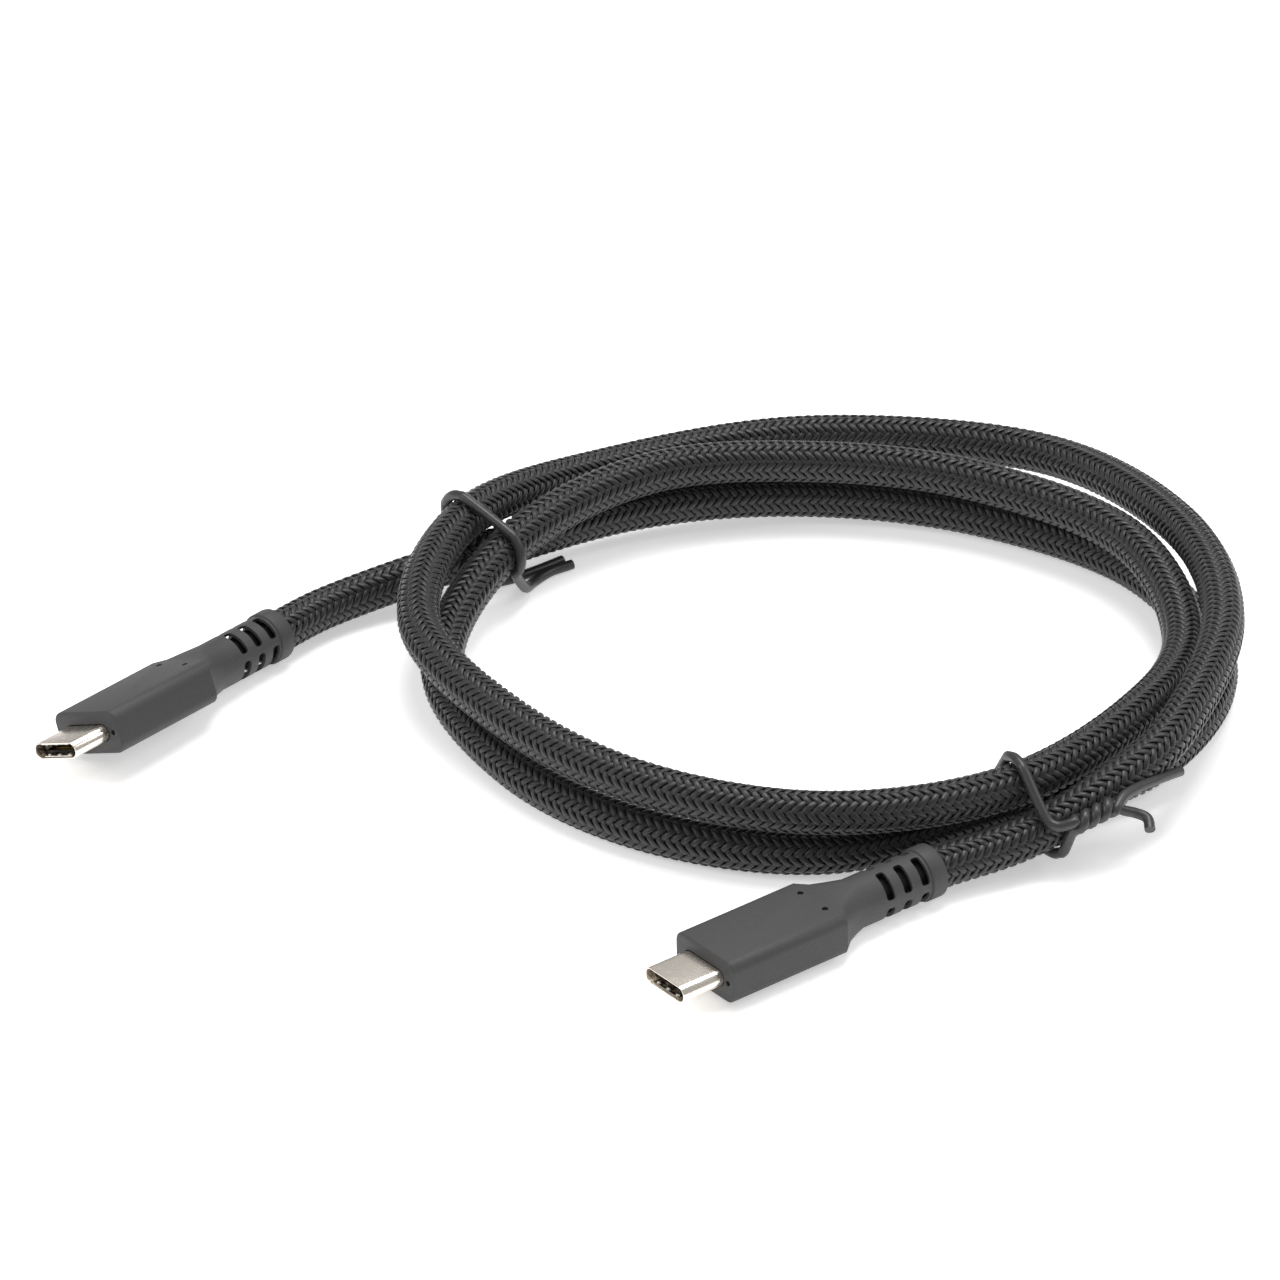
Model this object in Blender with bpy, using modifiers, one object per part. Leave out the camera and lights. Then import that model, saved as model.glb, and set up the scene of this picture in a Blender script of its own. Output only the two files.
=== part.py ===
"""Braided charging cable with two reversible plugs, coiled and held by two twist ties.

Frame: metres, +Z up, standing on z = 0, origin under the middle of the whole cable.
Each plug is built along its own +X, with x = 0 at the cable end of its boot and its nose at +X.
"""
import math

import bmesh
import bpy
from mathutils import Euler, Matrix, Vector

MM = 0.001

# Cable, in millimetres
CABLE_DIAMETER = 6.0
SLEEVE_WALL = 0.5
JACKET_WALL = 0.6
LAYER_GAP = 0.2
PATH_SPACING = 13.2

# Metal shell of a plug
SHELL_WIDTH = 8.25
SHELL_HEIGHT = 2.4
SHELL_WALL = 0.2
SHELL_REACH = 6.65
SHELL_TAIL = 3.4

# Plastic insulator and the mouth that takes a socket's tongue
INSULATOR_SIDE = 0.725
INSULATOR_SKIN = 0.45
MOUTH_DEPTH = 5.4
INSULATOR_SETBACK = 1.7
INSULATOR_TAIL = 3.0
SLOT_HEIGHT = 0.9

# Contacts, ground springs and latch
CONTACTS = 12
CONTACT_SHARE = 0.48
CONTACT_MARGIN = 0.33
CONTACT_THICKNESS = 0.15
CONTACT_LENGTH = 4.6
CARRIER_LENGTH = 0.6
SPRING_TONGUES = 3
SPRING_THICKNESS = 0.14
SPRING_LENGTH = 1.2
SPRING_ROOT = 0.4
SPRING_SETBACK = 0.3
ARM_THICKNESS = 0.16
ARM_HEIGHT = 0.6
ARM_LENGTH = 7.2
ARM_HOOK_LENGTH = 0.6
ARM_HOOK = 0.16
LATCH_PLATE_LENGTH = 1.8
LATCH_PLATE_THICKNESS = 0.2

# Circuit card and its shield
CARD_LENGTH = 7.8
CARD_SIDE_ROOM = 0.55
CARD_THICKNESS = 0.7
CHIP_SIZE = 2.0
CHIP_HEIGHT = 0.6
CHIP_SHIFT = 1.2
PAD_LENGTH = 1.6
SHIELD_LENGTH = 10.2
SHIELD_WALL = 0.25

# Overmould: grip, neck and windowed boot
GRIP_LENGTH = 19.8
GRIP_WIDTH = 12.2
GRIP_HEIGHT = 6.2
GRIP_CORNER = 1.5
GRIP_EDGE = 0.35
NECK_LENGTH = 5.2
GRIP_SIDE_WALL = 1.4
GRIP_TOP_WALL = 1.0
BOOT_LENGTH = 13.8
BOOT_WALL = 0.45
RING_LENGTH = 2.6
RING_RIM = 0.25
WINDOW_LENGTH = 1.25
WINDOW_PITCH = 3.0
WINDOW_DEPTH = 1.9
WINDOW_SPAN_DEG = 56
WINDOWS_PER_ROW = 3
WINDOW_ROWS = 4
PIN_HOLE_DIAMETER = 0.9
PIN_HOLE_DEPTH = 0.4
PIN_HOLE_SPACING = 5.2
PIN_HOLE_SETBACK = 1.4

# Cable end inside a plug
FERRULE_LENGTH = 4.2
FERRULE_WALL = 0.3
SLEEVE_INSET = 16.5
JACKET_INSET = 21.5
CORE_INSET = 22.6
WIRE_DIAMETER = 0.9

# Twist ties
TIE_DIAMETER = 1.5
TIE_WALL = 0.35
TIE_WIRE_DIAMETER = 0.5

# Clearances, and how far a cutter runs past what it cuts
FIT = 0.1
SEAT = 0.05
PAST = 1.0

# A full-round end keeps this much flat, and a grip's corner has this many steps
ROUND_TRIM = 0.01
CORNER_STEPS = 4

# Places worked out from the sizes above
PLUG_FACE = BOOT_LENGTH + NECK_LENGTH + GRIP_LENGTH
GRIP_BACK = BOOT_LENGTH + NECK_LENGTH
SHELL_INNER_WIDTH = SHELL_WIDTH - 2 * SHELL_WALL
SHELL_INNER_HEIGHT = SHELL_HEIGHT - 2 * SHELL_WALL
MOUTH_WIDTH = SHELL_INNER_WIDTH - 2 * INSULATOR_SIDE
MOUTH_HEIGHT = SHELL_INNER_HEIGHT - 2 * INSULATOR_SKIN
CONTACT_PITCH = (MOUTH_WIDTH - 2 * CONTACT_MARGIN) / (CONTACTS - 1 + CONTACT_SHARE)
CONTACT_WIDTH = CONTACT_SHARE * CONTACT_PITCH
SPRING_WIDTH = MOUTH_WIDTH - 1.0
SHIELD_WIDTH = GRIP_WIDTH - 2 * GRIP_SIDE_WALL
SHIELD_HEIGHT = GRIP_HEIGHT - 2 * GRIP_TOP_WALL
CARD_WIDTH = SHIELD_WIDTH - 2 * SHIELD_WALL - 2 * CARD_SIDE_ROOM
BOOT_DIAMETER = CABLE_DIAMETER + 2 * FIT + 2 * BOOT_WALL
RING_DIAMETER = BOOT_DIAMETER + 2 * RING_RIM
MOUTH_FRONT = PLUG_FACE + SHELL_REACH - INSULATOR_SETBACK
MOUTH_BACK = MOUTH_FRONT - MOUTH_DEPTH
INSULATOR_BACK = PLUG_FACE - INSULATOR_TAIL
SHIELD_FRONT = PLUG_FACE - SHELL_TAIL - 2 * FIT
SHIELD_BACK = SHIELD_FRONT - SHIELD_LENGTH
CARD_FRONT = INSULATOR_BACK - LATCH_PLATE_LENGTH - 4 * FIT
CARD_BACK = CARD_FRONT - CARD_LENGTH

# Where the cable leaves each plug, in millimetres, and how the plug lies, in degrees
EXIT_HEIGHT = RING_DIAMETER / 2 + FIT
PLUGS = {
    "plug_a": {"exit": (-52.5, 16.0, EXIT_HEIGHT), "heading": 231.0, "pitch": 3.0, "roll": 22.0},
    "plug_b": {"exit": (38.0, -45.5, EXIT_HEIGHT), "heading": 218.0, "pitch": 0.0, "roll": 2.0},
}

# The coil: it winds clockwise in steps of COIL_STEP degrees. At each step it lies so many cable
# diameters outside COIL_RADIUS, and on a level: 0 is on the floor and 1 is on another strand.
FLOOR_GAP = 0.2
STRAND_PITCH = CABLE_DIAMETER + FLOOR_GAP
COIL_CENTRE = (24.0, 7.0)
COIL_RADIUS = 48.0
COIL_START = 150
COIL_STEP = 30
COIL = [
    (1.5, 0.3), (0.25, 0.25), (0.0, 0.1), (0.3, 0.0), (1.0, 0.0), (1.3, 0.0),
    (0.6, 0.05), (-0.5, 0.22), (-0.15, 0.0), (0.0, 0.0), (0.25, 0.0), (0.8, 0.2),
    (0.35, 0.95), (0.0, 1.3), (-0.3, 1.2), (0.0, 1.1), (0.6, 1.0), (0.5, 0.8),
    (0.1, 1.15), (0.05, 1.1), (0.0, 1.1), (-0.1, 1.1), (0.2, 1.15), (1.3, 1.25),
    (1.6, 1.3), (2.0, 0.5), (3.0, 0.1), (3.2, 0.35), (1.95, 1.1), (1.4, 1.4),
    (1.3, 1.3),
]

# Points between each boot and the coil, in millimetres
LEAD_A = [(-44.0, 25.0, 3.6)]
LEAD_B = [(62.0, -33.0, 8.6), (50.5, -39.5, 5.0)]

# Each tie crosses the bundle in an upright plane through a point on it. Its two tails are given as
# points, in millimetres, and its loop is worked out from the strands that it holds.
TIE_REACH = 14.0
TIE_LOOP_STEPS = 20
TIE_LOOP_OFFSET = 2.4
TIE_SPACING = 1.6
TIES = {
    "upper": {
        "middle": (-24.0, 33.5), "across": (0.78, -0.62), "loop_deg": (-35, 255),
        "tail_start": [(-14.0, 38.6, 0.9), (-16.4, 35.0, 1.0), (-17.4, 31.6, 2.2)],
        "tail_end": [(-23.6, 35.2, 0.9), (-20.0, 36.0, 0.9), (-17.0, 38.8, 0.9)],
    },
    "lower": {
        "middle": (51.5, -35.0), "across": (0.55, -0.83), "loop_deg": (45, 320),
        "tail_start": [(72.4, -27.2, 8.0), (68.0, -32.3, 9.4), (64.0, -36.2, 9.9), (60.6, -38.9, 9.9)],
        "tail_end": [(56.8, -42.0, 4.4), (59.0, -41.8, 6.2), (62.5, -40.4, 7.2), (66.0, -39.0, 7.4),
                     (67.3, -40.2, 6.7)],
    },
}

MATERIALS = {}


def clear_scene():
    for item in list(bpy.data.objects):
        bpy.data.objects.remove(item, do_unlink=True)


def new_collection(name):
    group = bpy.data.collections.new(name)
    bpy.context.scene.collection.children.link(group)
    return group


def finish(name, colour, roughness, metallic):
    """A plain Principled material, with its colour as linear RGB."""
    made = bpy.data.materials.new(name)
    made.use_nodes = True
    shader = made.node_tree.nodes["Principled BSDF"]
    shader.inputs["Base Color"].default_value = (*colour, 1.0)
    shader.inputs["Roughness"].default_value = roughness
    shader.inputs["Metallic"].default_value = metallic
    MATERIALS[name] = made


def add_finishes():
    finish("nickel_plate", (0.72, 0.67, 0.61), 0.22, 1.0)
    finish("moulding", (0.075, 0.075, 0.078), 0.55, 0.0)
    finish("insulator_plastic", (0.012, 0.011, 0.010), 0.5, 0.0)
    finish("gold_plate", (0.83, 0.62, 0.27), 0.25, 1.0)
    finish("spring_steel", (0.58, 0.57, 0.55), 0.3, 1.0)
    finish("card_green", (0.02, 0.11, 0.04), 0.45, 0.0)
    finish("chip_black", (0.01, 0.01, 0.01), 0.4, 0.0)
    finish("tinned_steel", (0.6, 0.6, 0.58), 0.35, 1.0)
    finish("braid_nylon", (0.03, 0.03, 0.031), 0.45, 0.0)
    finish("jacket_rubber", (0.02, 0.02, 0.02), 0.6, 0.0)
    finish("core_wrap", (0.5, 0.5, 0.5), 0.4, 0.6)
    finish("tie_plastic", (0.05, 0.05, 0.052), 0.4, 0.0)
    finish("tie_steel", (0.35, 0.35, 0.35), 0.4, 1.0)
    finish("wire_red", (0.45, 0.02, 0.02), 0.5, 0.0)
    finish("wire_black", (0.01, 0.01, 0.01), 0.5, 0.0)
    finish("wire_white", (0.7, 0.7, 0.68), 0.5, 0.0)
    finish("wire_blue", (0.02, 0.08, 0.4), 0.5, 0.0)


# Meshes


def rounded_outline(width, height, radius, steps):
    """The points of a rounded rectangle, counter-clockwise, with steps segments to each corner."""
    points = []
    for corner, (sx, sy) in enumerate(((1, 1), (-1, 1), (-1, -1), (1, -1))):
        for step in range(steps + 1):
            turn = math.radians(90 * (corner + step / steps))
            across = sx * (width / 2 - radius) + radius * math.cos(turn)
            up = sy * (height / 2 - radius) + radius * math.sin(turn)
            points.append((across, up))
    return points


def flat_mesh(name, outline, thickness):
    """An outline in XY, in millimetres, given a thickness centred on z = 0, by a filled 2D curve."""
    data = bpy.data.curves.new(name, "CURVE")
    data.dimensions = "2D"
    data.fill_mode = "BOTH"
    data.extrude = thickness * MM / 2
    spline = data.splines.new("POLY")
    spline.points.add(len(outline) - 1)
    spline.use_cyclic_u = True
    for point, (x, y) in zip(spline.points, outline):
        point.co = (x * MM, y * MM, 0.0, 1.0)
    holder = bpy.data.objects.new(name, data)
    bpy.context.scene.collection.objects.link(holder)
    bpy.context.view_layer.update()
    mesh = bpy.data.meshes.new_from_object(holder.evaluated_get(bpy.context.evaluated_depsgraph_get()))
    bpy.data.objects.remove(holder, do_unlink=True)
    clean_mesh(mesh)
    return mesh


def clean_mesh(mesh):
    """Weld the caps on, drop slivers and point every face outwards."""
    edit = bmesh.new()
    edit.from_mesh(mesh)
    bmesh.ops.remove_doubles(edit, verts=edit.verts, dist=0.000002)
    bmesh.ops.recalc_face_normals(edit, faces=edit.faces)
    edit.to_mesh(mesh)
    edit.free()


def along_x(start, end):
    """Turn a flat mesh from the XY plane to stand across X, halfway between start and end."""
    upright = Matrix(((0, 0, 1, 0), (1, 0, 0, 0), (0, 1, 0, 0), (0, 0, 0, 1)))
    return Matrix.Translation((0.5 * (start + end) * MM, 0, 0)) @ upright


def section_mesh(name, outline, start, end):
    """A prism whose (across, up) section runs along X from start to end, in millimetres."""
    mesh = flat_mesh(name, outline, end - start)
    mesh.transform(along_x(start, end))
    return mesh


def block_mesh(name, low, high):
    """A block between two corners, in millimetres."""
    edit = bmesh.new()
    size = [(b - a) * MM for a, b in zip(low, high)]
    centre = [0.5 * (a + b) * MM for a, b in zip(low, high)]
    bmesh.ops.create_cube(edit, size=1.0)
    bmesh.ops.scale(edit, vec=size, verts=edit.verts)
    bmesh.ops.translate(edit, vec=centre, verts=edit.verts)
    mesh = bpy.data.meshes.new(name)
    edit.to_mesh(mesh)
    edit.free()
    return mesh


def rod_mesh(name, radius, start, end, sides=20):
    """A round rod along X, in millimetres."""
    edit = bmesh.new()
    turn = Matrix.Rotation(math.radians(90), 4, "Y")
    place = Matrix.Translation((0.5 * (start + end) * MM, 0, 0)) @ turn
    bmesh.ops.create_cone(edit, cap_ends=True, segments=sides, radius1=radius * MM, radius2=radius * MM,
                          depth=(end - start) * MM, matrix=place)
    mesh = bpy.data.meshes.new(name)
    edit.to_mesh(mesh)
    edit.free()
    return mesh


def place(name, mesh, group, parent, slot):
    item = bpy.data.objects.new(name, mesh)
    group.objects.link(item)
    if parent is not None:
        item.parent = parent
    if slot is not None:
        mesh.materials.clear()
        mesh.materials.append(MATERIALS[slot])
    return item


def cut(item, mesh, tools, parent):
    """Take a cutter's mesh away from a piece."""
    cutter = place(item.name + "_cutter_" + mesh.name, mesh, tools, parent, None)
    cutter.hide_render = True
    cutter.display_type = "WIRE"
    change = item.modifiers.new("cut_" + mesh.name, "BOOLEAN")
    change.operation = "DIFFERENCE"
    change.solver = "EXACT"
    change.object = cutter


# Cable


def smooth_points(points, spacing, before=None, after=None):
    """Evenly spaced points on a Catmull-Rom curve through the given ones, guided at both ends."""
    before = before if before is not None else 2 * points[0] - points[1]
    after = after if after is not None else 2 * points[-1] - points[-2]
    guided = [before, *points, after]
    fine = []
    for i in range(1, len(guided) - 2):
        a, b, c, d = guided[i - 1:i + 3]
        for step in range(12):
            t = step / 12
            linear = (c - a) * t
            square = (2 * a - 5 * b + 4 * c - d) * t ** 2
            cube = (3 * b - a - 3 * c + d) * t ** 3
            fine.append(0.5 * (2 * b + linear + square + cube))
    fine.append(points[-1])
    travelled = [0.0]
    for a, b in zip(fine, fine[1:]):
        travelled.append(travelled[-1] + (b - a).length)
    count = max(2, round(travelled[-1] / spacing))
    even = []
    index = 0
    for step in range(count + 1):
        goal = travelled[-1] * step / count
        while index < len(fine) - 2 and travelled[index + 1] < goal:
            index += 1
        share = (goal - travelled[index]) / max(travelled[index + 1] - travelled[index], 1e-9)
        even.append(fine[index].lerp(fine[index + 1], min(share, 1.0)))
    return even


def tube(name, points, radius, group, slot, wall=None, bevel_resolution=2):
    """A round tube along points in millimetres: solid with caps, or hollow when it has a wall."""
    data = bpy.data.curves.new(name, "CURVE")
    data.dimensions = "3D"
    data.bevel_depth = radius * MM
    data.bevel_resolution = bevel_resolution
    data.render_resolution_u = 0
    data.use_fill_caps = wall is None
    spline = data.splines.new("POLY")
    spline.points.add(len(points) - 1)
    for point, place_mm in zip(spline.points, points):
        point.co = (*(place_mm * MM), 1.0)
    data.materials.append(MATERIALS[slot])
    item = bpy.data.objects.new(name, data)
    group.objects.link(item)
    if wall is not None:
        thickness = item.modifiers.new("wall", "SOLIDIFY")
        thickness.thickness = wall * MM
        thickness.offset = -1.0
        thickness.use_even_offset = True
    return item


def plug_matrix(plug):
    """Where a plug's own frame lies, in millimetres."""
    turn = Euler((math.radians(plug["roll"]), -math.radians(plug["pitch"]), math.radians(plug["heading"])))
    return Matrix.Translation(plug["exit"]) @ turn.to_matrix().to_4x4()


def coil_points():
    """The coil's points, a loop over its offsets and levels."""
    points = []
    for step, (offset, level) in enumerate(COIL):
        angle = math.radians(COIL_START - step * COIL_STEP)
        distance = COIL_RADIUS + offset * CABLE_DIAMETER
        x = COIL_CENTRE[0] + distance * math.cos(angle)
        y = COIL_CENTRE[1] + distance * math.sin(angle)
        points.append(Vector((x, y, CABLE_DIAMETER / 2 + FLOOR_GAP + level * STRAND_PITCH)))
    return points


def shown_points():
    """Even points along the cable between the two boots."""
    first = plug_matrix(PLUGS["plug_a"])
    last = plug_matrix(PLUGS["plug_b"])
    leads = [[Vector(point) for point in lead] for lead in (LEAD_A, LEAD_B)]
    route = [first.translation, *leads[0], *coil_points(), *leads[1], last.translation]
    guide = Vector((PATH_SPACING, 0, 0))
    return smooth_points(route, PATH_SPACING, first @ guide, last @ guide)


def cable_points(inset):
    """The cable's whole route, reaching inset millimetres into each plug's boot."""
    first = plug_matrix(PLUGS["plug_a"])
    last = plug_matrix(PLUGS["plug_b"])
    depths = [Vector((inset, 0, 0)), Vector((0.5 * inset, 0, 0))]
    ends = [[end @ depth for depth in depths] for end in (first, last)]
    return [*ends[0], *shown_points(), *reversed(ends[1])]


def build_cable(group):
    sleeve_radius = CABLE_DIAMETER / 2
    jacket_radius = sleeve_radius - SLEEVE_WALL - LAYER_GAP
    core_radius = jacket_radius - JACKET_WALL - LAYER_GAP
    tube("braided_sleeve", cable_points(SLEEVE_INSET), sleeve_radius, group, "braid_nylon", SLEEVE_WALL)
    tube("cable_jacket", cable_points(JACKET_INSET), jacket_radius, group, "jacket_rubber", JACKET_WALL)
    tube("cable_core", cable_points(CORE_INSET), core_radius, group, "core_wrap")


# Plugs


def build_shell(name, group, tools, parent):
    start = PLUG_FACE - SHELL_TAIL
    end = PLUG_FACE + SHELL_REACH
    outer = rounded_outline(SHELL_WIDTH, SHELL_HEIGHT, SHELL_HEIGHT / 2 - ROUND_TRIM, 5)
    inner = rounded_outline(SHELL_INNER_WIDTH, SHELL_INNER_HEIGHT, SHELL_INNER_HEIGHT / 2 - ROUND_TRIM, 5)
    shell = place(name + "_shell", section_mesh("shell", outer, start, end), group, parent, "nickel_plate")
    cut(shell, section_mesh("bore", inner, start - PAST, end + PAST), tools, parent)


def build_insulator(name, group, tools, parent):
    width = SHELL_INNER_WIDTH - 2 * FIT
    height = SHELL_INNER_HEIGHT - 2 * FIT
    outline = rounded_outline(width, height, height / 2 - ROUND_TRIM, 4)
    body = section_mesh("insulator", outline, INSULATOR_BACK, MOUTH_FRONT)
    insulator = place(name + "_insulator", body, group, parent, "insulator_plastic")
    mouth = block_mesh("mouth", (MOUTH_BACK, -MOUTH_WIDTH / 2, -MOUTH_HEIGHT / 2),
                       (MOUTH_FRONT + PAST, MOUTH_WIDTH / 2, MOUTH_HEIGHT / 2))
    cut(insulator, mouth, tools, parent)
    for side in (-1, 1):
        low, high = sorted((side * (MOUTH_WIDTH / 2 - 2 * FIT), side * (width / 2 + PAST)))
        slot = block_mesh("slot", (INSULATOR_BACK - PAST, low, -SLOT_HEIGHT / 2),
                          (MOUTH_FRONT + 2 * PAST, high, SLOT_HEIGHT / 2))
        cut(insulator, slot, tools, parent)


def build_contacts(name, group, parent):
    """Two rows of spring contacts, each joined at the back by its carrier strip."""
    back = MOUTH_BACK + SEAT
    row_width = (CONTACTS - 1) * CONTACT_PITCH + CONTACT_WIDTH
    outline = [(back, row_width / 2), (back, -row_width / 2)]
    for index in range(CONTACTS):
        near = -row_width / 2 + index * CONTACT_PITCH
        far = near + CONTACT_WIDTH
        outline += [(back + CONTACT_LENGTH, near), (back + CONTACT_LENGTH, far)]
        if index < CONTACTS - 1:
            outline += [(back + CARRIER_LENGTH, far), (back + CARRIER_LENGTH, near + CONTACT_PITCH)]
    height = MOUTH_HEIGHT / 2 - SEAT - CONTACT_THICKNESS / 2
    for label, side in (("upper", 1), ("lower", -1)):
        mesh = flat_mesh("contacts", outline, CONTACT_THICKNESS)
        mesh.transform(Matrix.Translation((0, 0, side * height * MM)))
        place(f"{name}_{label}_contacts", mesh, group, parent, "gold_plate")


def build_ground_springs(name, group, parent):
    """Two stamped springs just inside the mouth, whose tongues touch the socket."""
    front = PLUG_FACE + SHELL_REACH - SPRING_SETBACK
    back = front - SPRING_LENGTH
    root = front - SPRING_ROOT
    tongue = SPRING_WIDTH / (2 * SPRING_TONGUES - 1)
    outline = [(front, -SPRING_WIDTH / 2), (front, SPRING_WIDTH / 2)]
    for index in reversed(range(SPRING_TONGUES)):
        start = -SPRING_WIDTH / 2 + 2 * index * tongue
        outline += [(back, start + tongue), (back, start)]
        if index:
            outline += [(root, start), (root, start - tongue)]
    height = SHELL_INNER_HEIGHT / 2 - SEAT - SPRING_THICKNESS / 2
    for label, side in (("upper", 1), ("lower", -1)):
        mesh = flat_mesh("springs", outline, SPRING_THICKNESS)
        mesh.transform(Matrix.Translation((0, 0, side * height * MM)))
        place(f"{name}_{label}_ground_spring", mesh, group, parent, "spring_steel")


def build_latch(name, group, parent):
    """The latch plate behind the mouth, and the two arms that spring outwards as a plug goes home."""
    reach = MOUTH_WIDTH / 2 + FIT
    half = LATCH_PLATE_THICKNESS / 2
    plate = block_mesh("plate", (CARD_FRONT + 2 * FIT, -reach, -half),
                       (INSULATOR_BACK - 2 * FIT, reach, half))
    place(name + "_latch_plate", plate, group, parent, "spring_steel")
    skin = ARM_THICKNESS / 2
    bend = ARM_LENGTH - ARM_HOOK_LENGTH
    outline = [(0, -skin), (bend, -skin), (ARM_LENGTH, -skin - ARM_HOOK), (ARM_LENGTH, skin - ARM_HOOK),
               (bend, skin), (0, skin)]
    for label, side in (("left", -1), ("right", 1)):
        pivot = bpy.data.objects.new(f"{name}_{label}_latch_pivot", None)
        pivot.location = ((INSULATOR_BACK + FIT) * MM, side * (reach + skin) * MM, 0)
        pivot.parent = parent
        group.objects.link(pivot)
        mesh = flat_mesh("arm", [(x, side * y) for x, y in outline], ARM_HEIGHT)
        place(f"{name}_{label}_latch_arm", mesh, group, pivot, "spring_steel")


def build_card(name, group, parent):
    card = block_mesh("card", (CARD_BACK, -CARD_WIDTH / 2, -CARD_THICKNESS / 2),
                      (CARD_FRONT, CARD_WIDTH / 2, CARD_THICKNESS / 2))
    place(name + "_circuit_card", card, group, parent, "card_green")
    middle = 0.5 * (CARD_FRONT + CARD_BACK) + CHIP_SHIFT
    base = CARD_THICKNESS / 2 + SEAT
    chip = block_mesh("chip", (middle - CHIP_SIZE / 2, -CHIP_SIZE / 2, base),
                      (middle + CHIP_SIZE / 2, CHIP_SIZE / 2, base + CHIP_HEIGHT))
    place(name + "_marker_chip", chip, group, parent, "chip_black")


def build_shield(name, group, tools, parent):
    """Two folded half shells that meet edge to edge round the circuit card."""
    half = SHIELD_WIDTH / 2
    for label, side in (("upper", 1), ("lower", -1)):
        low, high = sorted((side * SEAT, side * SHIELD_HEIGHT / 2))
        can = place(f"{name}_{label}_shield", block_mesh("can", (SHIELD_BACK, -half, low),
                    (SHIELD_FRONT, half, high)), group, parent, "tinned_steel")
        low, high = sorted((-side, side * (SHIELD_HEIGHT / 2 - SHIELD_WALL)))
        inside = block_mesh("inside", (SHIELD_BACK - PAST, -half + SHIELD_WALL, low),
                            (SHIELD_FRONT + PAST, half - SHIELD_WALL, high))
        cut(can, inside, tools, parent)


def build_ferrule(name, group, tools, parent):
    inner = CABLE_DIAMETER / 2 - SLEEVE_WALL - LAYER_GAP + FIT
    start = SLEEVE_INSET + 2 * FIT
    end = start + FERRULE_LENGTH
    ferrule = place(name + "_crimp_ferrule", rod_mesh("ferrule", inner + FERRULE_WALL, start, end, 16),
                    group, parent, "tinned_steel")
    cut(ferrule, rod_mesh("bore", inner, start - PAST, end + PAST, 16), tools, parent)


def build_wires(name, matrix, group):
    """Four insulated wires from the cable's core to the pads at the back of the card."""
    start = CORE_INSET + 4 * FIT
    end = CARD_BACK + PAD_LENGTH
    height = CARD_THICKNESS / 2 + WIRE_DIAMETER / 2 + FIT
    close = 0.6 * WIRE_DIAMETER
    rows = (("power", "wire_red", 1, 1), ("ground", "wire_black", -1, 1),
            ("data", "wire_white", 1, -1), ("signal", "wire_blue", -1, -1))
    for label, slot, side, level in rows:
        spread = 0.25 * CARD_WIDTH * side
        route = [(start, side * close, level * close),
                 (start + close, side * 1.2 * close, level * 1.2 * close),
                 (CARD_BACK - close, spread, level * height),
                 (end, spread, level * height)]
        points = [matrix @ Vector(point) for point in route]
        tube(f"{name}_{label}_wire", points, WIRE_DIAMETER / 2, group, slot, None, 1)


def loft_mesh(name, sections):
    """A closed skin through sections along X: each is x and an outline of (across, up) points."""
    edit = bmesh.new()
    rings = [[edit.verts.new((x * MM, across * MM, up * MM)) for across, up in outline]
             for x, outline in sections]
    for ring, following in zip(rings, rings[1:]):
        for index in range(len(ring)):
            after = (index + 1) % len(ring)
            edit.faces.new((ring[index], ring[after], following[after], following[index]))
    edit.faces.new(rings[0])
    edit.faces.new(rings[-1])
    bmesh.ops.recalc_face_normals(edit, faces=edit.faces)
    mesh = bpy.data.meshes.new(name)
    edit.to_mesh(mesh)
    edit.free()
    return mesh


def window_mesh():
    """Blocks that cut the boot's windows: rows at the four diagonals, between solid ribs."""
    radius = BOOT_DIAMETER / 2
    chord = 2 * radius * math.sin(math.radians(WINDOW_SPAN_DEG / 2))
    first = RING_LENGTH + WINDOW_LENGTH / 2 + 4 * FIT
    edit = bmesh.new()
    for row in range(WINDOW_ROWS):
        spin = Matrix.Rotation(math.tau * (row + 0.5) / WINDOW_ROWS, 4, "X")
        for index in range(WINDOWS_PER_ROW):
            shift = Matrix.Translation(((first + index * WINDOW_PITCH) * MM, 0, radius * MM))
            size = Matrix.Diagonal((WINDOW_LENGTH * MM, chord * MM, WINDOW_DEPTH * MM, 1.0))
            bmesh.ops.create_cube(edit, size=1.0, matrix=spin @ shift @ size)
    mesh = bpy.data.meshes.new("windows")
    edit.to_mesh(mesh)
    edit.free()
    return mesh


def round_outline(diameter):
    """A circle with as many points as a rounded_outline, each at its own turn round the middle."""
    points = []
    for quarter in range(4):
        for step in range(CORNER_STEPS + 1):
            turn = 0.5 * math.pi * (quarter + (step + 0.5) / (CORNER_STEPS + 1))
            points.append((0.5 * diameter * math.cos(turn), 0.5 * diameter * math.sin(turn)))
    return points


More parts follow.
